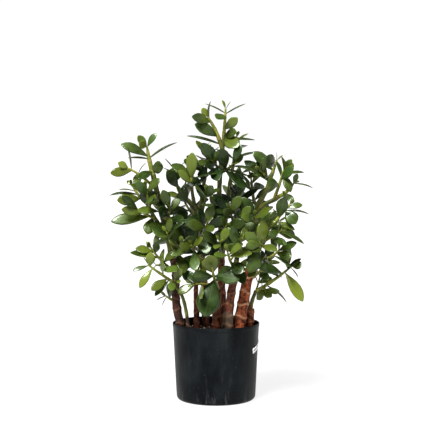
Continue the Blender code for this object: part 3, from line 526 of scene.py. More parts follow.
# Stems, in order: limbs of (x, y, z, radius). Shoots: stem, limb, share of the limb, tip,
# leaf pairs, longest leaf, azimuth of the second pair, radius and perhaps a bend.
# Twigs: the shoot that they branch off, and then as for a shoot. Placed leaves:
# twig, share of its centreline, the leaf's tip, how far it faces the front, and
# its width. Moves: what a leaf may have done to clear its neighbours, a placed one
# in twist and length, another also in degrees round the shoot and of opening.
stemPlan = [
    [
        [(-70, -18, 122, 9.8), (-76, -19, 150, 9.8), (-78, -20, 170, 9.8), (-84, -20, 196, 9.5),
         (-88, -20, 239, 9), (-88, -15, 278, 8.5), (-98, -10, 328, 7.5), (-110, -5, 373, 6.8),
         (-121, 0, 421, 6.4), (-131, 0, 464, 6.2), (-137, 0, 492, 6.2)],
        [(-103, -8, 345, 4.4), (-118, -12, 374, 4.6), (-134, -15, 400, 4.4), (-149, -20, 428, 4.0)],
    ],
    [
        [(-57, -56, 122, 4.2), (-58, -56, 150, 4.2), (-64, -56, 200, 3.9), (-74, -52, 235, 3.7),
         (-94, -46, 263, 3.5)],
    ],
    [
        [(-42, 18, 122, 8), (-42, 18, 150, 8), (-43, 20, 184, 6.5), (-44, 20, 247, 5),
         (-39, 10, 299, 4.6), (-33, -10, 354, 4.6), (-33, -26, 400, 4.6), (-46, -34, 428, 4.4)],
    ],
    [
        [(0, -15, 122, 10.5), (0, -15, 150, 10.5), (2, -15, 195, 9.2), (5, -12, 225, 6.8),
         (8, -10, 251, 6.0), (11, 0, 316, 5.8), (10, 5, 379, 5.6), (7, 5, 447, 5.4), (10, 0, 501, 5.0),
         (14, 0, 545, 4.8), (16, 0, 565, 4.6)],
    ],
    [
        [(24, -50, 122, 12), (24, -50, 150, 12), (26, -48, 186, 11.5), (28, -46, 200, 9.8),
         (34, -42, 244, 9), (39, -38, 268, 8.2), (44, -25, 303, 6), (50, -5, 345, 4.6),
         (49, 10, 381, 4.2), (46, 14, 402, 4.0)],
    ],
    [
        [(49, -30, 122, 13.5), (50, -30, 150, 13.5), (54, -30, 192, 12.8), (60, -28, 223, 12),
         (65, -25, 251, 11.4), (71, -22, 276, 10.4), (75, -19, 298, 8.6), (77, -14, 320, 7.2),
         (77, -4, 350, 6.8), (81, 5, 388, 6.4), (87, 10, 416, 6.2), (101, 10, 441, 5.8),
         (112, 10, 460, 5.6)],
        [(84, 8, 402, 4.6), (104, -3, 425, 5.2), (126, -10, 437, 5.0), (138, -14, 445, 4.8)],
        [(72, -21, 286, 4.2), (84, -35, 314, 4.8), (97, -45, 343, 4.4), (103, -46, 365, 4.2)],
    ],
    [
        [(72, -5, 122, 9.8), (72, -5, 150, 9.8), (74, -5, 178, 9.6), (75, -5, 199, 9.2)],
        [(74.5, -5, 185, 4.4), (76, -6, 203, 4.6), (80, -10, 220, 4.3), (87, -12, 238, 4.2)],
    ],
    [
        [(-22, 40, 122, 9), (-22, 40, 150, 9), (-24, 45, 211, 8), (-29, 50, 277, 7.4), (-36, 50, 344, 7),
         (-44, 50, 396, 6.2), (-58, 50, 428, 5.2), (-78, 45, 444, 4.6)],
        [(-41, 50, 376, 4.6), (-34, 46, 420, 4.8), (-29, 40, 456, 4.6), (-24, 35, 488, 4.4)],
    ],
    [
        [(60, 45, 122, 9.5), (60, 45, 150, 9.5), (67, 55, 210, 8.6), (76, 65, 276, 7.8),
         (85, 70, 343, 6.8), (89, 70, 399, 5.6), (85, 70, 430, 5.0)],
        [(78, 67, 292, 4.6), (96, 80, 322, 4.8), (118, 88, 350, 4.4)],
    ],
    [
        [(17, 62, 122, 9.5), (17, 62, 150, 9.5), (14, 75, 218, 8.4), (13, 88, 296, 7.2),
         (20, 93, 375, 6.2), (28, 88, 443, 5.2), (35, 80, 492, 4.6)],
        [(13, 86, 282, 4.6), (-6, 104, 318, 4.8), (-22, 112, 352, 4.4)],
    ],
]

shootPlan = [
    # crown and leader
    (4, 0, 1.0, (21, 0, 636), 1, 66, 90, 4.4),
    (4, 0, 0.955, (-18, -10, 616), 0, 62, 160, 5.0, (2, -5, 588)),
    (10, 0, 1.0, (46, 66, 574), 4, 58, 30, 4.0),
    (4, 0, 0.86, (-10, -36, 524), 3, 58, 20, 3.4),
    (4, 0, 0.84, (38, -30, 516), 4, 56, 50, 3.4),
    # left side
    (1, 0, 1.0, (-150, 0, 553), 0, 64, 50, 6.0),
    (1, 0, 0.9, (-190, -26, 506), 0, 56, 60, 3.4, (-156, -18, 490)),
    (1, 1, 1.0, (-180, -26, 468), 2, 62, 30, 3.6),
    (1, 1, 0.8, (-150, -46, 466), 3, 58, 10, 3.0),
    (1, 1, 0.62, (-178, -40, 424), 1, 60, 110, 3.4, (-150, -28, 404)),
    (8, 0, 1.0, (-90, 33, 502), 3, 54, 20, 4.0, (-90, 42, 466)),
    (8, 1, 1.0, (-18, 22, 544), 4, 62, 150, 4.0),
    (3, 0, 1.0, (-48, -42, 514), 4, 60, 80, 4.2, (-58, -40, 470)),
    (3, 0, 0.93, (-76, -28, 456), 3, 56, 0, 3.2),
    (3, 0, 0.9, (-20, -62, 456), 3, 58, 15, 3.2),
    (3, 0, 0.76, (-16, -84, 396), 4, 60, 100, 3.2),
    (3, 0, 0.6, (-52, -74, 344), 4, 62, 10, 3.2),
    (1, 0, 0.66, (-98, -46, 424), 4, 56, 40, 3.2),
    (1, 0, 0.5, (-74, -70, 346), 3, 66, 20, 3.4),
    (1, 0, 0.42, (-140, -42, 336), 2, 66, 10, 3.4),
    (2, 0, 1.0, (-146, -54, 300), 0, 62, 50, 3.4, (-120, -48, 280)),
    (1, 0, 0.25, (-108, -34, 230), 1, 54, 20, 3.0, (-100, -26, 222)),
    # front
    (4, 0, 0.27, (-8, -104, 300), 1, 60, 0, 3.8, (-4, -66, 262)),
    (5, 0, 0.6, (24, -112, 334), 2, 62, 20, 3.4, (30, -80, 300)),
    (4, 0, 0.42, (8, -92, 354), 4, 56, 60, 3.2),
    (4, 0, 0.56, (22, -78, 384), 4, 56, 120, 3.2),
    (5, 0, 0.86, (28, -60, 420), 4, 60, 30, 3.2),
    (5, 0, 1.0, (43, 14, 458), 4, 60, 75, 3.6),
    # right side
    (6, 0, 1.0, (133, 10, 524), 1, 60, 90, 5.4, (122, 10, 490)),
    (6, 1, 1.0, (168, -26, 474), 1, 58, 20, 4.8, (152, -20, 450)),
    (6, 1, 0.78, (150, -12, 512), 3, 54, 60, 4.0, (138, -14, 470)),
    (6, 2, 1.0, (158, -52, 430), 2, 54, 5, 3.8, (124, -48, 388)),
    (6, 2, 0.8, (140, -72, 378), 3, 60, 10, 3.2),
    (6, 2, 0.55, (94, -104, 350), 3, 66, 150, 3.2),
    (6, 2, 0.3, (144, -42, 338), 4, 56, 60, 3.2, (116, -44, 306)),
    (6, 0, 0.46, (112, -40, 296), 2, 66, 0, 3.0, (96, -34, 274)),
    (6, 0, 0.7, (84, -76, 406), 4, 62, 20, 3.2),
    (7, 1, 1.0, (164, -26, 294), 0, 70, 0, 4.2, (126, -16, 260)),
    (7, 1, 0.62, (96, 14, 264), 2, 54, 30, 2.6),
    (9, 0, 1.0, (78, 60, 482), 4, 60, 30, 4.2),
    # back
    (9, 1, 1.0, (142, 94, 392), 4, 60, 40, 4.0),
    (9, 0, 0.72, (100, 134, 404), 4, 60, 10, 3.4),
    (10, 1, 1.0, (-34, 130, 400), 4, 60, 50, 4.0),
    (10, 0, 0.72, (40, 144, 442), 4, 60, 20, 3.4),
    (8, 0, 0.58, (-92, 98, 372), 4, 62, 70, 3.4),
    (8, 0, 0.8, (-78, 102, 442), 4, 56, 10, 3.2),
    (9, 0, 0.42, (118, 62, 298), 3, 60, 50, 3.2),
]

twigPlan = [
    (18, 0.45, (-132, -50, 436), 3, 54, 100, 2.6),
    (19, 0.4, (-104, -76, 372), 3, 58, 60, 2.6),
    (20, 0.35, (-128, -64, 300), 2, 60, 0, 2.6),
    (21, 0.4, (-112, -76, 316), 3, 52, 20, 2.4),
    (17, 0.3, (-22, -66, 312), 2, 60, 60, 2.6),
    (23, 0.35, (-52, -98, 264), 3, 58, 40, 2.6),
    (21, 0.12, (-86, -90, 270), 2, 56, 60, 2.4),
    (38, 0.22, (108, -34, 238), 2, 50, 20, 2.4),
    (24, 0.35, (52, -92, 300), 2, 62, 20, 2.6),
    (24, 0.6, (56, -104, 362), 3, 54, 80, 2.6),
    (27, 0.4, (56, -70, 400), 3, 52, 60, 2.6),
    (36, 0.4, (86, -62, 292), 2, 54, 60, 2.4),
    (12, 0.35, (-46, 6, 516), 3, 50, 40, 2.6),
    (5, 0.45, (66, -20, 490), 3, 52, 10, 2.6),
    (29, 0.35, (96, -10, 500), 3, 56, 40, 2.8),
    (37, 0.35, (112, -64, 392), 2, 54, 70, 2.6),
]

placedLeaves = [
    # crown
    (1, 0.86, -24, 8, 645, 5, 0.28), (1, 0.84, 65, 4, 645, 5, 0.3), (1, 0.8, 2, -44, 610, 50, 0.55),
    (1, 0.4, 47, -14, 614, 80, 0.52), (1, 0.14, 48, -42, 551, 70, 0.62), (1, 0.1, 86, 12, 566, 8, 0.34),
    (1, 0.2, 44, -30, 584, 72, 0.6), (2, 0.98, -30, -14, 635, 80, 0.6),
    (2, 0.9, -11, -28, 652, 8, 0.34), (2, 0.8, -52, -36, 616, 70, 0.46),
    (2, 0.34, -46, -22, 601, 72, 0.44), (2, 0.14, -64, -4, 575, 8, 0.34),
    (4, 0.8, -30, -48, 560, 80, 0.5),
    # top left
    (6, 0.66, -206, -8, 557, 55, 0.38), (6, 0.95, -169, -6, 576, 80, 0.52),
    (6, 0.98, -166, -26, 560, 80, 0.6), (6, 0.96, -129, -4, 581, 62, 0.42),
    (6, 0.62, -84, 6, 561, 5, 0.34), (6, 0.6, -194, 20, 527, 10, 0.34),
    (6, 0.28, -113, -26, 508, 80, 0.75), (6, 0.18, -165, -42, 482, 62, 0.42),
    (7, 0.97, -210, -34, 518, 80, 0.6), (7, 0.88, -190, -30, 550, 8, 0.32),
    (7, 0.84, -227, -34, 495, 80, 0.44), (7, 0.66, -150, -30, 517, 5, 0.24),
    # left
    (8, 0.55, -229, -30, 447, 12, 0.32), (8, 0.35, -212, -42, 437, 80, 0.5),
    (9, 0.2, -150, -40, 463, 85, 0.8), (10, 0.55, -202, -52, 418, 70, 0.42),
    (10, 0.25, -226, -36, 391, 65, 0.32), (10, 0.14, -147, -44, 364, 85, 0.62),
    (11, 0.95, -113, 30, 526, 5, 0.3), (11, 0.35, -108, 8, 500, 65, 0.5),
    (11, 0.6, -76, 20, 506, 75, 0.5), (18, 0.92, -114, -54, 460, 75, 0.5),
    # lower left
    (20, 0.6, -184, -50, 325, 42, 0.3), (20, 0.8, -124, -60, 350, 75, 0.5),
    (21, 0.9, -138, -66, 328, 85, 0.62), (21, 0.97, -155, -58, 316, 8, 0.4),
    (21, 0.95, -178, -62, 287, 52, 0.32), (21, 0.8, -163, -66, 251, 75, 0.34),
    (21, 0.2, -138, -66, 246, 72, 0.46), (21, 0.12, -131, -58, 233, 60, 0.32),
    (22, 0.96, -128, -40, 221, 8, 0.34), (22, 0.9, -118, -24, 206, 8, 0.32),
    # middle, in front
    (13, 0.62, -50, -56, 540, 80, 0.42), (13, 0.5, -80, -50, 502, 60, 0.46),
    (15, 0.18, -70, -64, 377, 72, 0.4), (49, 0.9, -60, -74, 398, 35, 0.26),
    (17, 0.85, -96, -84, 322, 65, 0.34), (4, 0.3, -44, -48, 462, 20, 0.26),
    (5, 0.75, 86, -40, 497, 18, 0.36), (5, 0.96, 58, -38, 566, 70, 0.42),
    (5, 0.3, 62, -44, 460, 50, 0.4), (23, 0.8, -15, -112, 326, 85, 0.82),
    (23, 0.58, -24, -106, 195, 86, 0.6), (23, 0.7, 50, -102, 274, 70, 0.5),
    (24, 0.8, 76, -114, 330, 48, 0.42), (24, 0.48, 56, -112, 288, 78, 0.6),
    (34, 0.88, 62, -112, 346, 85, 0.66), (37, 0.9, 68, -92, 402, 70, 0.6),
    # right
    (29, 0.62, 80, 4, 541, 70, 0.42), (29, 0.25, 62, 26, 521, 62, 0.34),
    (29, 0.8, 106, -30, 530, 65, 0.55), (31, 0.95, 164, -18, 524, 80, 0.55),
    (31, 0.6, 166, -52, 508, 60, 0.42), (31, 0.78, 160, -36, 454, 75, 0.42),
    (31, 0.7, 191, -14, 496, 20, 0.36), (30, 0.97, 210, -26, 462, 8, 0.34),
    (30, 0.95, 175, -30, 494, 80, 0.5), (32, 0.8, 200, -52, 407, 6, 0.32),
    (32, 0.85, 170, -66, 388, 85, 0.75), (32, 0.5, 168, -60, 374, 35, 0.4),
    (32, 0.62, 146, -76, 446, 80, 0.5), (30, 0.35, 166, -44, 434, 75, 0.42),
    (33, 0.85, 188, -62, 345, 18, 0.38), (33, 0.8, 110, -90, 364, 85, 0.55),
    # lower right
    (38, 0.88, 150, -44, 342, 70, 0.36), (38, 0.82, 184, -36, 311, 28, 0.36),
    (38, 0.99, 187, -38, 299, 85, 0.8), (38, 0.96, 178, -30, 269, 15, 0.3),
    (38, 0.8, 187, -44, 219, 75, 0.34), (38, 0.74, 86, -64, 297, 60, 0.32),
    (38, 0.14, 121, -22, 226, 80, 0.6), (38, 0.28, 154, -20, 213, 5, 0.3),
    (38, 0.16, 103, -20, 270, 5, 0.26),
    # in front of the trunks
    (23, 0.68, -52, -104, 280, 70, 0.5), (23, 0.45, 36, -86, 302, 60, 0.5),
    (17, 0.3, -74, -70, 290, 60, 0.48), (24, 0.2, 60, -88, 262, 72, 0.44),
    (36, 0.5, 112, -70, 268, 60, 0.42), (35, 0.75, 160, -74, 318, 70, 0.45),
    (22, 0.6, -96, -58, 262, 60, 0.4), (23, 0.3, -38, -58, 226, 30, 0.36),
    (7, 0.3, -120, -46, 476, 60, 0.45), (33, 0.4, 150, -74, 344, 60, 0.42),
    # filling the middle
    (4, 0.55, -22, -66, 512, 78, 0.5), (15, 0.8, -6, -88, 470, 70, 0.5),
    (31, 0.45, 108, -46, 476, 70, 0.5), (9, 0.7, -170, -66, 478, 66, 0.44),
    (10, 0.8, -202, -56, 446, 60, 0.4), (35, 0.85, 172, -64, 348, 60, 0.42),
    (18, 0.6, -122, -72, 424, 70, 0.46), (27, 0.7, 16, -88, 420, 75, 0.5),
]

placedMoves = (
    (0, 1.0), (12, 1.0), (-12, 1.0), (0, 0.9), (24, 0.95),
    (-24, 0.95), (0, 0.8), (36, 0.85), (-36, 0.85), (0, 0.7),
)

leafMoves = (
    (0, 0, 0, 1.0), (0, 9, 0, 1.0), (0, -9, 0, 1.0), (13, 0, 8, 1.0), (-13, 0, -8, 1.0),
    (8, 16, 20, 1.0), (-8, 16, -20, 1.0), (10, -16, 25, 0.95), (-10, -16, -25, 0.95),
    (24, 6, 30, 0.92), (-24, 6, -30, 0.92), (20, -14, 0, 0.88), (-20, -14, 0, 0.88),
    (0, 24, 0, 0.85), (0, -26, 0, 0.8), (34, 10, 40, 0.8), (-34, 10, -40, 0.8),
    (0, 0, 45, 0.75), (0, 0, -45, 0.75), (14, 12, 0, 0.66), (-14, 12, 0, 0.66),
    (12, -20, 0, 0.6), (-12, -20, 0, 0.6), (0, 0, 0, 0.52),
)

leaf = {
    "width": 0.5,  # this and the next four are shares of the leaf's length
    "thickness": 0.07,
    "arch": 0.055,
    "cup": 0.025,
    "groove": 0.016,  # depth of the midrib's furrow
    "belly": 1.5,  # above 1, the blade is widest past its middle
    "bluntness": 0.7,
    "pairLength": (0.3, 0.68, 0.95, 1.0, 1.0),  # pairs from the tip down, as shares of the longest leaf
    "pairBelowTip": (0.0, 0.2, 0.48, 0.84, 1.22),
    "pairOpening": (26.0, 47.0, 63.0, 74.0, 82.0),  # degrees
    "pairYouth": (0.55, 0.28, 0.08, 0.0, 0.0),  # how yellow each pair still is
    "tipGap": 1.5,  # from the twig's end to its first pair
    "lightPull": 0.6,
    "lightRise": 0.35,
    "lightMiddle": 60.0,
    "rings": 9,
    "sides": 8,
    "placedPair": 7,  # stands for the pair in the seed of a placed leaf
    "fresh": (8, 16, 22, 38, 41, 46, 47, 82),  # rows of placedLeaves that are still yellow-green
    "olive": (4, 5, 24, 27, 29, 42, 55, 58, 78),  # rows of placedLeaves that are turning green
    "match": 0.06,  # within which a leaf's corner is its own in the model
}


def outline(t):
    return max(math.sin(math.pi * t ** leaf["belly"]), 0.0) ** leaf["bluntness"]


def plumpness(t):
    return max(math.sin(math.pi * t**0.7), 0.0) ** 0.5


def leafPoint(t, side, up, length, wide, arch, groove=0.0):
    width = length * wide / 2 * outline(t) * side
    lift = length * (4 * arch * t * (1 - t) + leaf["cup"] * outline(t) * side**2)
    lift -= length * groove * max(up, 0) * bump(side, 0.35) * math.sin(math.pi * min(t * 1.05, 1.0))
    return Vector((length * t, width, lift + length * leaf["thickness"] / 2 * plumpness(t) * up))


def pointAlong(points, share):
    places = [Vector(p[:3]) * mm for p in points]
    spans = [(b - a).length for a, b in zip(places, places[1:])]
    distance = share * sum(spans)
    for number, span in enumerate(spans):
        if distance <= span or number == len(spans) - 1:
            return places[number].lerp(places[number + 1], min(distance / span, 1.0))
        distance -= span


def shootAxis(start, tip, bend):  # a shoot leaves its stem sideways and turns up, unless a bend is given
    end = Vector(tip) * mm
    reach = end - start
    control = Vector(bend) * mm if bend else start + Vector((reach.x * 0.6, reach.y * 0.6, reach.z * 0.42))
    return lambda t: start.lerp(control, t).lerp(control.lerp(end, t), t)


def axisPoint(place, belowTip):  # the point of an axis at a distance below its tip, and the way up there
    steps = 60
    distance, here = 0.0, place(1.0)
    for number in range(steps - 1, -1, -1):
        lower = place(number / steps)
        distance += (here - lower).length
        if distance >= belowTip:
            return lower, (here - lower).normalized()
        here = lower
    return None, None


def planTwigs():  # the axis and the growth of every shoot, and then of every side twig
    plan = []

    def addTwig(number, start, tip, pairs, longest, azimuth, radius, bend=None):
        place = shootAxis(start, tip, bend)
        plan.append({"shoot": number, "place": place, "tip": tip, "pairs": pairs, "longest": longest,
                     "azimuth": azimuth, "radius": radius})

    for number, (stem, limb, share, *rest) in enumerate(shootPlan):
        addTwig(number, pointAlong(stemPlan[stem - 1][limb], min(share, 0.992)), *rest)
    for parent, share, *rest in twigPlan:
        addTwig(parent - 1, plan[parent - 1]["place"](share), *rest)
    return plan


def turnedPose(forward, upper, roll, place):  # a leaf's own x runs to its tip and its z out of its face
    pose = Matrix((forward, upper.cross(forward), upper)).transposed().to_4x4()
    pose = pose @ Matrix.Rotation(roll, 4, "X")
    pose.translation = place
    return pose


def leafPose(number, twig, pair, side, move):
    longest, tip = twig["longest"], twig["tip"]
    below = leaf["pairBelowTip"][pair] * longest + leaf["tipGap"]
    spot, axis = axisPoint(twig["place"], below * mm)
    if spot is None:
        return None, 0.0
    turn, opening, twist, size = move
    seed = (number, pair, side)
    azimuth = twig["azimuth"] + 90 * (pair - 1) + 180 * side  # each pair is a quarter turn from the last
    angle = math.radians(azimuth + 9 * wobble(*seed, 1) + turn)
    tilt = math.radians(leaf["pairOpening"][pair] + 7 * wobble(*seed, 2) + opening)
    roll = math.radians(24 * wobble(*seed, 3) + twist)
    length = longest * leaf["pairLength"][pair] * (1 + 0.09 * wobble(*seed, 4)) * size * mm
    across = Vector((1, 0, 0)) - axis * axis.x
    if across.length < 0.2:
        across = Vector((0, 0, -1)) + axis * axis.z
    across.normalize()
    radial = across * math.cos(angle) + axis.cross(across) * math.sin(angle)
    forward = axis * math.cos(tilt) + radial * math.sin(tilt)
    upper = axis * math.sin(tilt) - radial * math.cos(tilt)
    light = Vector((tip[0] / 2, tip[1] - leaf["lightMiddle"], 0)).normalized()
    upper += (light + Vector((0, 0, leaf["lightRise"]))) * leaf["lightPull"]
    upper = (upper - forward * upper.dot(forward)).normalized()
    return turnedPose(forward, upper, roll, spot + radial * 0.6 * mm), length


def placedPose(twig, share, tip, face, move):
    twist, size = move
    base = twig["place"](share)
    reach = Vector(tip) * mm - base
    forward = reach.normalized()
    front = (Vector((0, -1, 0)) + forward * forward.y).normalized()
    aside = forward.cross(front)
    if aside.z < 0:
        aside.negate()
    upper = front * math.cos(math.radians(90 - face)) + aside * math.sin(math.radians(90 - face))
    return turnedPose(forward, upper, math.radians(twist), base), reach.length * size


def leafWishes(plan):  # every leaf that the plant would grow, with the poses it may take
    for index, (twig, share, *tip, face, wide) in enumerate(placedLeaves):
        poses = [placedPose(plan[twig - 1], share, tip, face, move) for move in placedMoves]
        arch = leaf["arch"] * (1 + 0.6 * wobble(index, twig, 6))
        yield twig - 1, (index, leaf["placedPair"], 0), wide, arch, poses
    for number, twig in enumerate(plan):
        for pair in range(twig["pairs"]):
            for side in (0, 1):
                poses = [leafPose(number, twig, pair, side, move) for move in leafMoves]
                if poses[0][0] is not None:
                    arch = leaf["arch"] * (1 + 0.5 * wobble(number, pair, side, 5))
                    wide = leaf["width"] * (1 + 0.14 * wobble(number, pair, side, 6))
                    yield number, (number, pair, side), wide, arch, poses


def nodeCorners(name):  # a search tree of a shoot's corners in the model
    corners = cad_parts[name].data.vertices
    tree = KDTree(len(corners))
    for index, corner in enumerate(corners):
        tree.insert(corner.co, index)
    tree.balance()
    return tree


def findLeaf(poses, wide, arch, corners):  # the pose of the model's own leaf, or None where it has none
    for pose, length in poses:
        probes = [leafPoint(1, 0, 0, length, wide, arch)]
        probes += [leafPoint(0.5, edge, 0, length, wide, arch) for edge in (-1, 1)]
        missed = sum(corners.find(pose @ probe)[2] > leaf["match"] * mm for probe in probes)
        if missed <= 1:
            return pose, length, wide, arch
    return None


def pathLengths(places):  # the distance along a path to each of its points
    distances = [0.0]
    for a, b in zip(places, places[1:]):
        distances.append(distances[-1] + (b - a).length)
    return distances


def mapCorners(layer, spots):
    for face in {face for vert in spots for face in vert.link_faces}:
        for loop in face.loops:
            loop[layer].uv = spots[loop.vert]


def sweepTube(cage, layers, places, radii, sides, values):
    # A grid is rolled round the path. values(distance, angle) gives a corner's
    # radius factor and its attributes.
    steps = len(places) - 1
    distances = pathLengths(places)
    tangents = [(places[min(i + 1, steps)] - places[max(i - 1, 0)]).normalized() for i in range(steps + 1)]
    side = tangents[0].cross(Vector((0.31, -0.95, 0.07))).normalized()
    frames = []
    for tangent in tangents:
        side = (side - tangent * side.dot(tangent)).normalized()
        frames.append((side, tangent.cross(side)))
    made = bmesh.ops.create_grid(cage, x_segments=steps, y_segments=sides, size=0.5)["verts"]
    spots = {vert: (round((vert.co.x + 0.5) * steps), vert.co.y + 0.5) for vert in made}
    mapCorners(layers["map"], {vert: (share, distances[step]) for vert, (step, share) in spots.items()})
    for vert, (step, share) in spots.items():
        angle = math.tau * share
        factor, attributes = values(distances[step], angle)
        first, second = frames[step]
        out = first * math.cos(angle) + second * math.sin(angle)
        vert.co = places[step] + out * radii[step] * factor
        for name, value in attributes.items():
            vert[layers[name]] = value
    bmesh.ops.remove_doubles(cage, verts=made, dist=0.0000005)
    bmesh.ops.holes_fill(cage, edges=[edge for edge in cage.edges if edge.is_boundary], sides=0)


stemAttributes = ("woodiness", "redness", "greyness", "nodeRing", "shade")
leafAttributes = ("upperFace", "leafTone", "warmth", "youth", "shade")


def addLayers(cage, attributes, mapName):
    layers = {name: cage.verts.layers.float.new(name) for name in attributes}
    layers["map"] = cage.loops.layers.uv.new(mapName)
    return layers


def smoothPath(points, step):  # Catmull-Rom through a limb's points, with the radius fourth
    knots = [Vector(p) for p in points]
    knots = [knots[0] * 2 - knots[1], *knots, knots[-1] * 2 - knots[-2]]
    path = []
    for a, b, c, d in zip(knots, knots[1:], knots[2:], knots[3:]):
        count = max(2, round((c - b).length / step))
        bend, turn = a * 2 - b * 5 + c * 4 - d, b * 3 - a - c * 3 + d
        for t in (number / count for number in range(count)):
            path.append((b * 2 + (c - a) * t + bend * t * t + turn * t**3) / 2)
    path.append(knots[-2])
    return [spot.xyz * mm for spot in path], [spot.w * mm for spot in path]


inside = {  # the heart of the plant, where shade is painted, in metres
    "middle": (0.0, 0.02, 0.4),
    "reach": (0.2, 0.15, 0.25),
    "dark": 0.34,  # shares of the reach where it is darkest and where it ends
    "light": 0.88,
    "darkest": 0.95,
}


def innerShade(place):  # painted shade: leaves and twigs deep inside the plant are darkened as the crown's own shade would darken them
    offset = place - Vector(inside["middle"])
    outward = Vector([part / reach for part, reach in zip(offset, inside["reach"])]).length
    return inside["darkest"] * (1 - smoothstep(inside["dark"], inside["light"], outward))


# Bark of each stem: redness and greyness from 0 to 1, the height where green takes
# over, the distance between its node rings, and how clear they are.
barkPlan = [
    (0.08, 0.0, 330, 26, 0.25),
    (0.0, 0.0, 196, 24, 0.3),
    (0.3, 0.0, 300, 22, 0.4),
    (0.8, 0.15, 300, 21, 0.5),
    (0.4, 0.05, 310, 23, 0.5),
    (1.0, 0.0, 312, 30, 1.7),
    (0.9, 0.0, 203, 17, 0.5),
    (0.35, 0.1, 330, 26, 0.4),
    (0.55, 0.1, 340, 27, 0.5),
    (0.5, 0.0, 360, 25, 0.5),
]

bark = {
    "step": 2.2,
    "sides": 14,
    "branchSides": 10,
    "ringWidth": 1.9,
    "greenBlend": 22,  # half the height over which bark turns green
    "stump": (5, 196, 0.95),  # stem that grew again from a stump, the stump's height and its greyness
}


def limbValues(stemNumber, limb, plan, places):
    redness, greyness, greenFrom, spacing, ringing = plan
    distances = pathLengths(places)
    stumpStem, stumpTop, stumpGrey = bark["stump"]

    def values(distance, angle):
        s = distance / mm
        node = round(s / spacing)
        centre = node * spacing + 0.16 * spacing * wobble(stemNumber, limb, node)
        fromNode = s - centre - 0.10 * spacing * math.cos(2 * (angle - node * math.pi / 2 - 0.6))
        clear = ringing * (0.4 + 0.6 * spread(stemNumber, limb, node, 3))
        ring = min(1.0, bump(fromNode, bark["ringWidth"]) * clear)
        height = places[min(bisect_left(distances, distance, 1), len(places) - 1)].z / mm
        blend = height + 10 * wobble(node, stemNumber, limb, 2) - greenFrom
        wood = 1 - smoothstep(-bark["greenBlend"], bark["greenBlend"], blend)
        swell = 0.09 * bump(fromNode, 2.2) + 0.05 * bump(fromNode, 6)
        around = Vector((math.cos(angle) * 1.4, math.sin(angle) * 1.4, s * 0.06 + stemNumber * 7))
        factor = 0.96 + swell + noise.noise(around) * (0.03 + 0.06 * wood)
        grey = stumpGrey if stemNumber == stumpStem and height < stumpTop else greyness
        return factor, {
            "woodiness": wood,
            "redness": redness,
            "greyness": grey,
            "nodeRing": ring * (0.35 + 0.55 * wood),
            # painted shade on the green upper parts of each stem, which stand inside the crown
            "shade": 0.7 * (1 - wood),
        }

    return values


def buildStems():
    for number, limbs in enumerate(stemPlan, 1):
        cage = bmesh.new()
        layers = addLayers(cage, stemAttributes, "stemMap")
        for limb, points in enumerate(limbs):
            places, radii = smoothPath(points, bark["step"])
            values = limbValues(number, limb, barkPlan[number - 1], places)
            sweepTube(cage, layers, places, radii, bark["branchSides" if limb else "sides"], values)
        bmesh.ops.recalc_face_normals(cage, faces=cage.faces)
        finishPiece(f"jadeStem{number:02d}", cage, stemMaterial, "stem_bark", f"stem_{number:02d}")
    print("stems made")


shoot = {"steps": 24, "sides": 8, "tipRadius": 1.8, "taper": 2.5, "redness": 0.4, "ringWidth": 1.0}


def twigValues(twig):
    place, longest = twig["place"], twig["longest"]
    total = sum((place((i + 1) / 40) - place(i / 40)).length for i in range(40))
    nodes = [total - (below * longest + leaf["tipGap"]) * mm for below in leaf["pairBelowTip"]]
    nodes.append(nodes[-1] - 0.36 * longest * mm)

    def values(distance, angle):
        nearest = min(abs(distance - node) for node in nodes) / mm
        return 0.95 + 0.16 * bump(nearest, 2.6), {
            "woodiness": 0.25 * (1 - smoothstep(0, 0.3, distance / total)),
            "redness": shoot["redness"],
            "greyness": 0.0,
            "nodeRing": 0.4 * bump(nearest, shoot["ringWidth"]),
            # painted shade, deeper for twig parts further inside the plant
            "shade": innerShade(place(min(distance / total, 1.0))),
        }

    return values


def addTwigTube(cage, layers, twig):
    steps, thick = shoot["steps"], twig["radius"]
    shares = [i / steps for i in range(steps + 1)]
    places = [twig["place"](share) for share in shares]
    radii = [(thick + (shoot["tipRadius"] - thick) * share ** shoot["taper"]) * mm for share in shares]
    sweepTube(cage, layers, places, radii, shoot["sides"], twigValues(twig))


def addLeaf(cage, layers, pose, length, wide, arch, values):
    ball = bmesh.ops.create_uvsphere(cage, u_segments=leaf["sides"], v_segments=leaf["rings"], radius=1.0)
    spots = {}
    for vert in ball["verts"]:
        t = min(max((1 + vert.co.z) / 2, 0.0), 1.0)
        around = math.atan2(vert.co.y, vert.co.x)
        atPole = math.hypot(vert.co.x, vert.co.y) < 1e-6
        side, up = (0.0, 0.0) if atPole else (math.cos(around), math.sin(around))
        spots[vert] = (0.5 + side / 2, t)
        vert[layers["upperFace"]] = 0.5 + up / 2
        for name, value in values.items():
            vert[layers[name]] = value
        vert.co = pose @ leafPoint(t, side, up, length, wide, arch, leaf["groove"])
    mapCorners(layers["map"], spots)


def leafYouth(seed):  # how yellow a leaf still is: the pairs near a shoot's tip are the youngest
    row, pair = seed[0] + 1, seed[1]
    if pair == leaf["placedPair"]:
        return 0.72 if row in leaf["fresh"] else 0.38 if row in leaf["olive"] else 0.04
    if spread(*seed, 9) > 0.94:
        return 0.55
    return max(0.0, leaf["pairYouth"][pair] + 0.12 * wobble(*seed, 8))


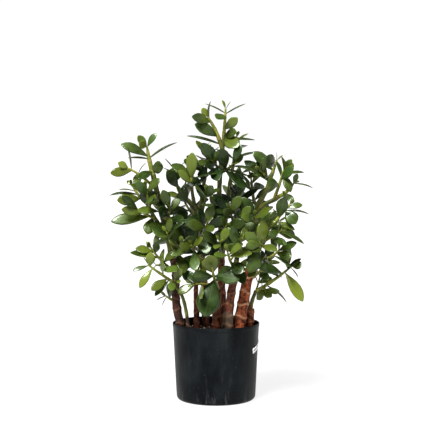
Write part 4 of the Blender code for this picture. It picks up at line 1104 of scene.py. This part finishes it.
def buildShoots():
    plan = planTwigs()
    wishes = list(leafWishes(plan))
    total = 0
    for number in range(len(shootPlan)):
        node = f"shoot_{number + 1:02d}"
        corners = nodeCorners(node)
        leaves, twigs = bmesh.new(), bmesh.new()
        leafLayers = addLayers(leaves, leafAttributes, "leafMap")
        twigLayers = addLayers(twigs, stemAttributes, "stemMap")
        for twig in plan:
            if twig["shoot"] == number:
                addTwigTube(twigs, twigLayers, twig)
        for twigNumber, seed, wide, arch, poses in wishes:
            if plan[twigNumber]["shoot"] != number:
                continue
            found = findLeaf(poses, wide, arch, corners)
            if found:
                total += 1
                values = {
                    "leafTone": 0.16 * wobble(*seed, 10),
                    "warmth": spread(*seed, 11),
                    "youth": leafYouth(seed),
                    "shade": innerShade(found[0] @ Vector((found[1] / 2, 0, 0))),
                }
                addLeaf(leaves, leafLayers, *found, values)
        bmesh.ops.recalc_face_normals(twigs, faces=twigs.faces)
        finishPiece(f"leaves{number + 1:02d}", leaves, leafMaterial, "shoot_green", node)
        finishPiece(f"twig{number + 1:02d}", twigs, stemMaterial, "shoot_green", node)
    print(f"shoots made, {total} leaves")


buildPot()
buildLabel()
buildSoil()
buildChips()
print("pot, sticker and potting mix made")
buildStems()
buildShoots()

studio = {  # in metres and degrees
    "horizon": 1.05,
    "dome": 0.1,
    "sunToward": (0.36, 0.6, -0.95),
    "sunAngle": 26.0,  # across, as a large softbox
    "sunStrength": 8.2,
    "fillToward": (-0.8, 0.5, -0.6),
    "fillAngle": 50.0,
    "fillStrength": 0.45,
    "floorRadius": 30.0,
    "floorGrey": 0.17,
    "floorGlow": 0.86,
    "cameraPlace": (0.0, -2.6, 0.56),
    "cameraPitch": 3.5,  # below level
    "lens": 99.64,
}


def addSun(name, toward, angle, strength):
    data = bpy.data.lights.new(name, "SUN")
    data.angle = math.radians(angle)
    data.energy = strength
    addToScene(name, data).rotation_euler = Vector(toward).to_track_quat("-Z", "Y").to_euler()


def buildFloor():
    cage = bmesh.new()
    bmesh.ops.create_circle(cage, cap_ends=True, segments=64, radius=studio["floorRadius"])
    mesh = makeMesh("paleFloor", cage)
    made, _, shader = newMaterial("lightTable", [studio["floorGrey"]] * 3, roughness=0.8, specular=0.0)
    setInput(shader, "Emission Color", (1, 1, 1, 1))
    setInput(shader, "Emission Strength", studio["floorGlow"])
    mesh.materials.append(made)
    addToScene("paleFloor", mesh)


def buildSky():
    world = bpy.data.worlds.new("studioWhite")
    world.use_nodes = True
    tree = world.node_tree
    height = axes(addNode(tree, "TexCoord").outputs["Generated"])[2]
    light = ramp(height, (0.12, studio["horizon"]), (0.17, studio["dome"]))
    setInput(tree.nodes["Background"], "Color", light)
    bpy.context.scene.world = world


def buildCamera():
    data = bpy.data.cameras.new("camera")
    data.lens = studio["lens"]
    data.sensor_width = 36
    camera = addToScene("camera", data)
    camera.location = studio["cameraPlace"]
    camera.rotation_euler = (math.radians(90 - studio["cameraPitch"]), 0, 0)
    bpy.context.scene.camera = camera
    bpy.context.scene.view_settings.view_transform = "Standard"


buildFloor()
buildSky()
addSun("softboxLeft", studio["sunToward"], studio["sunAngle"], studio["sunStrength"])
addSun("softboxRight", studio["fillToward"], studio["fillAngle"], studio["fillStrength"])
buildCamera()
print("studio made")
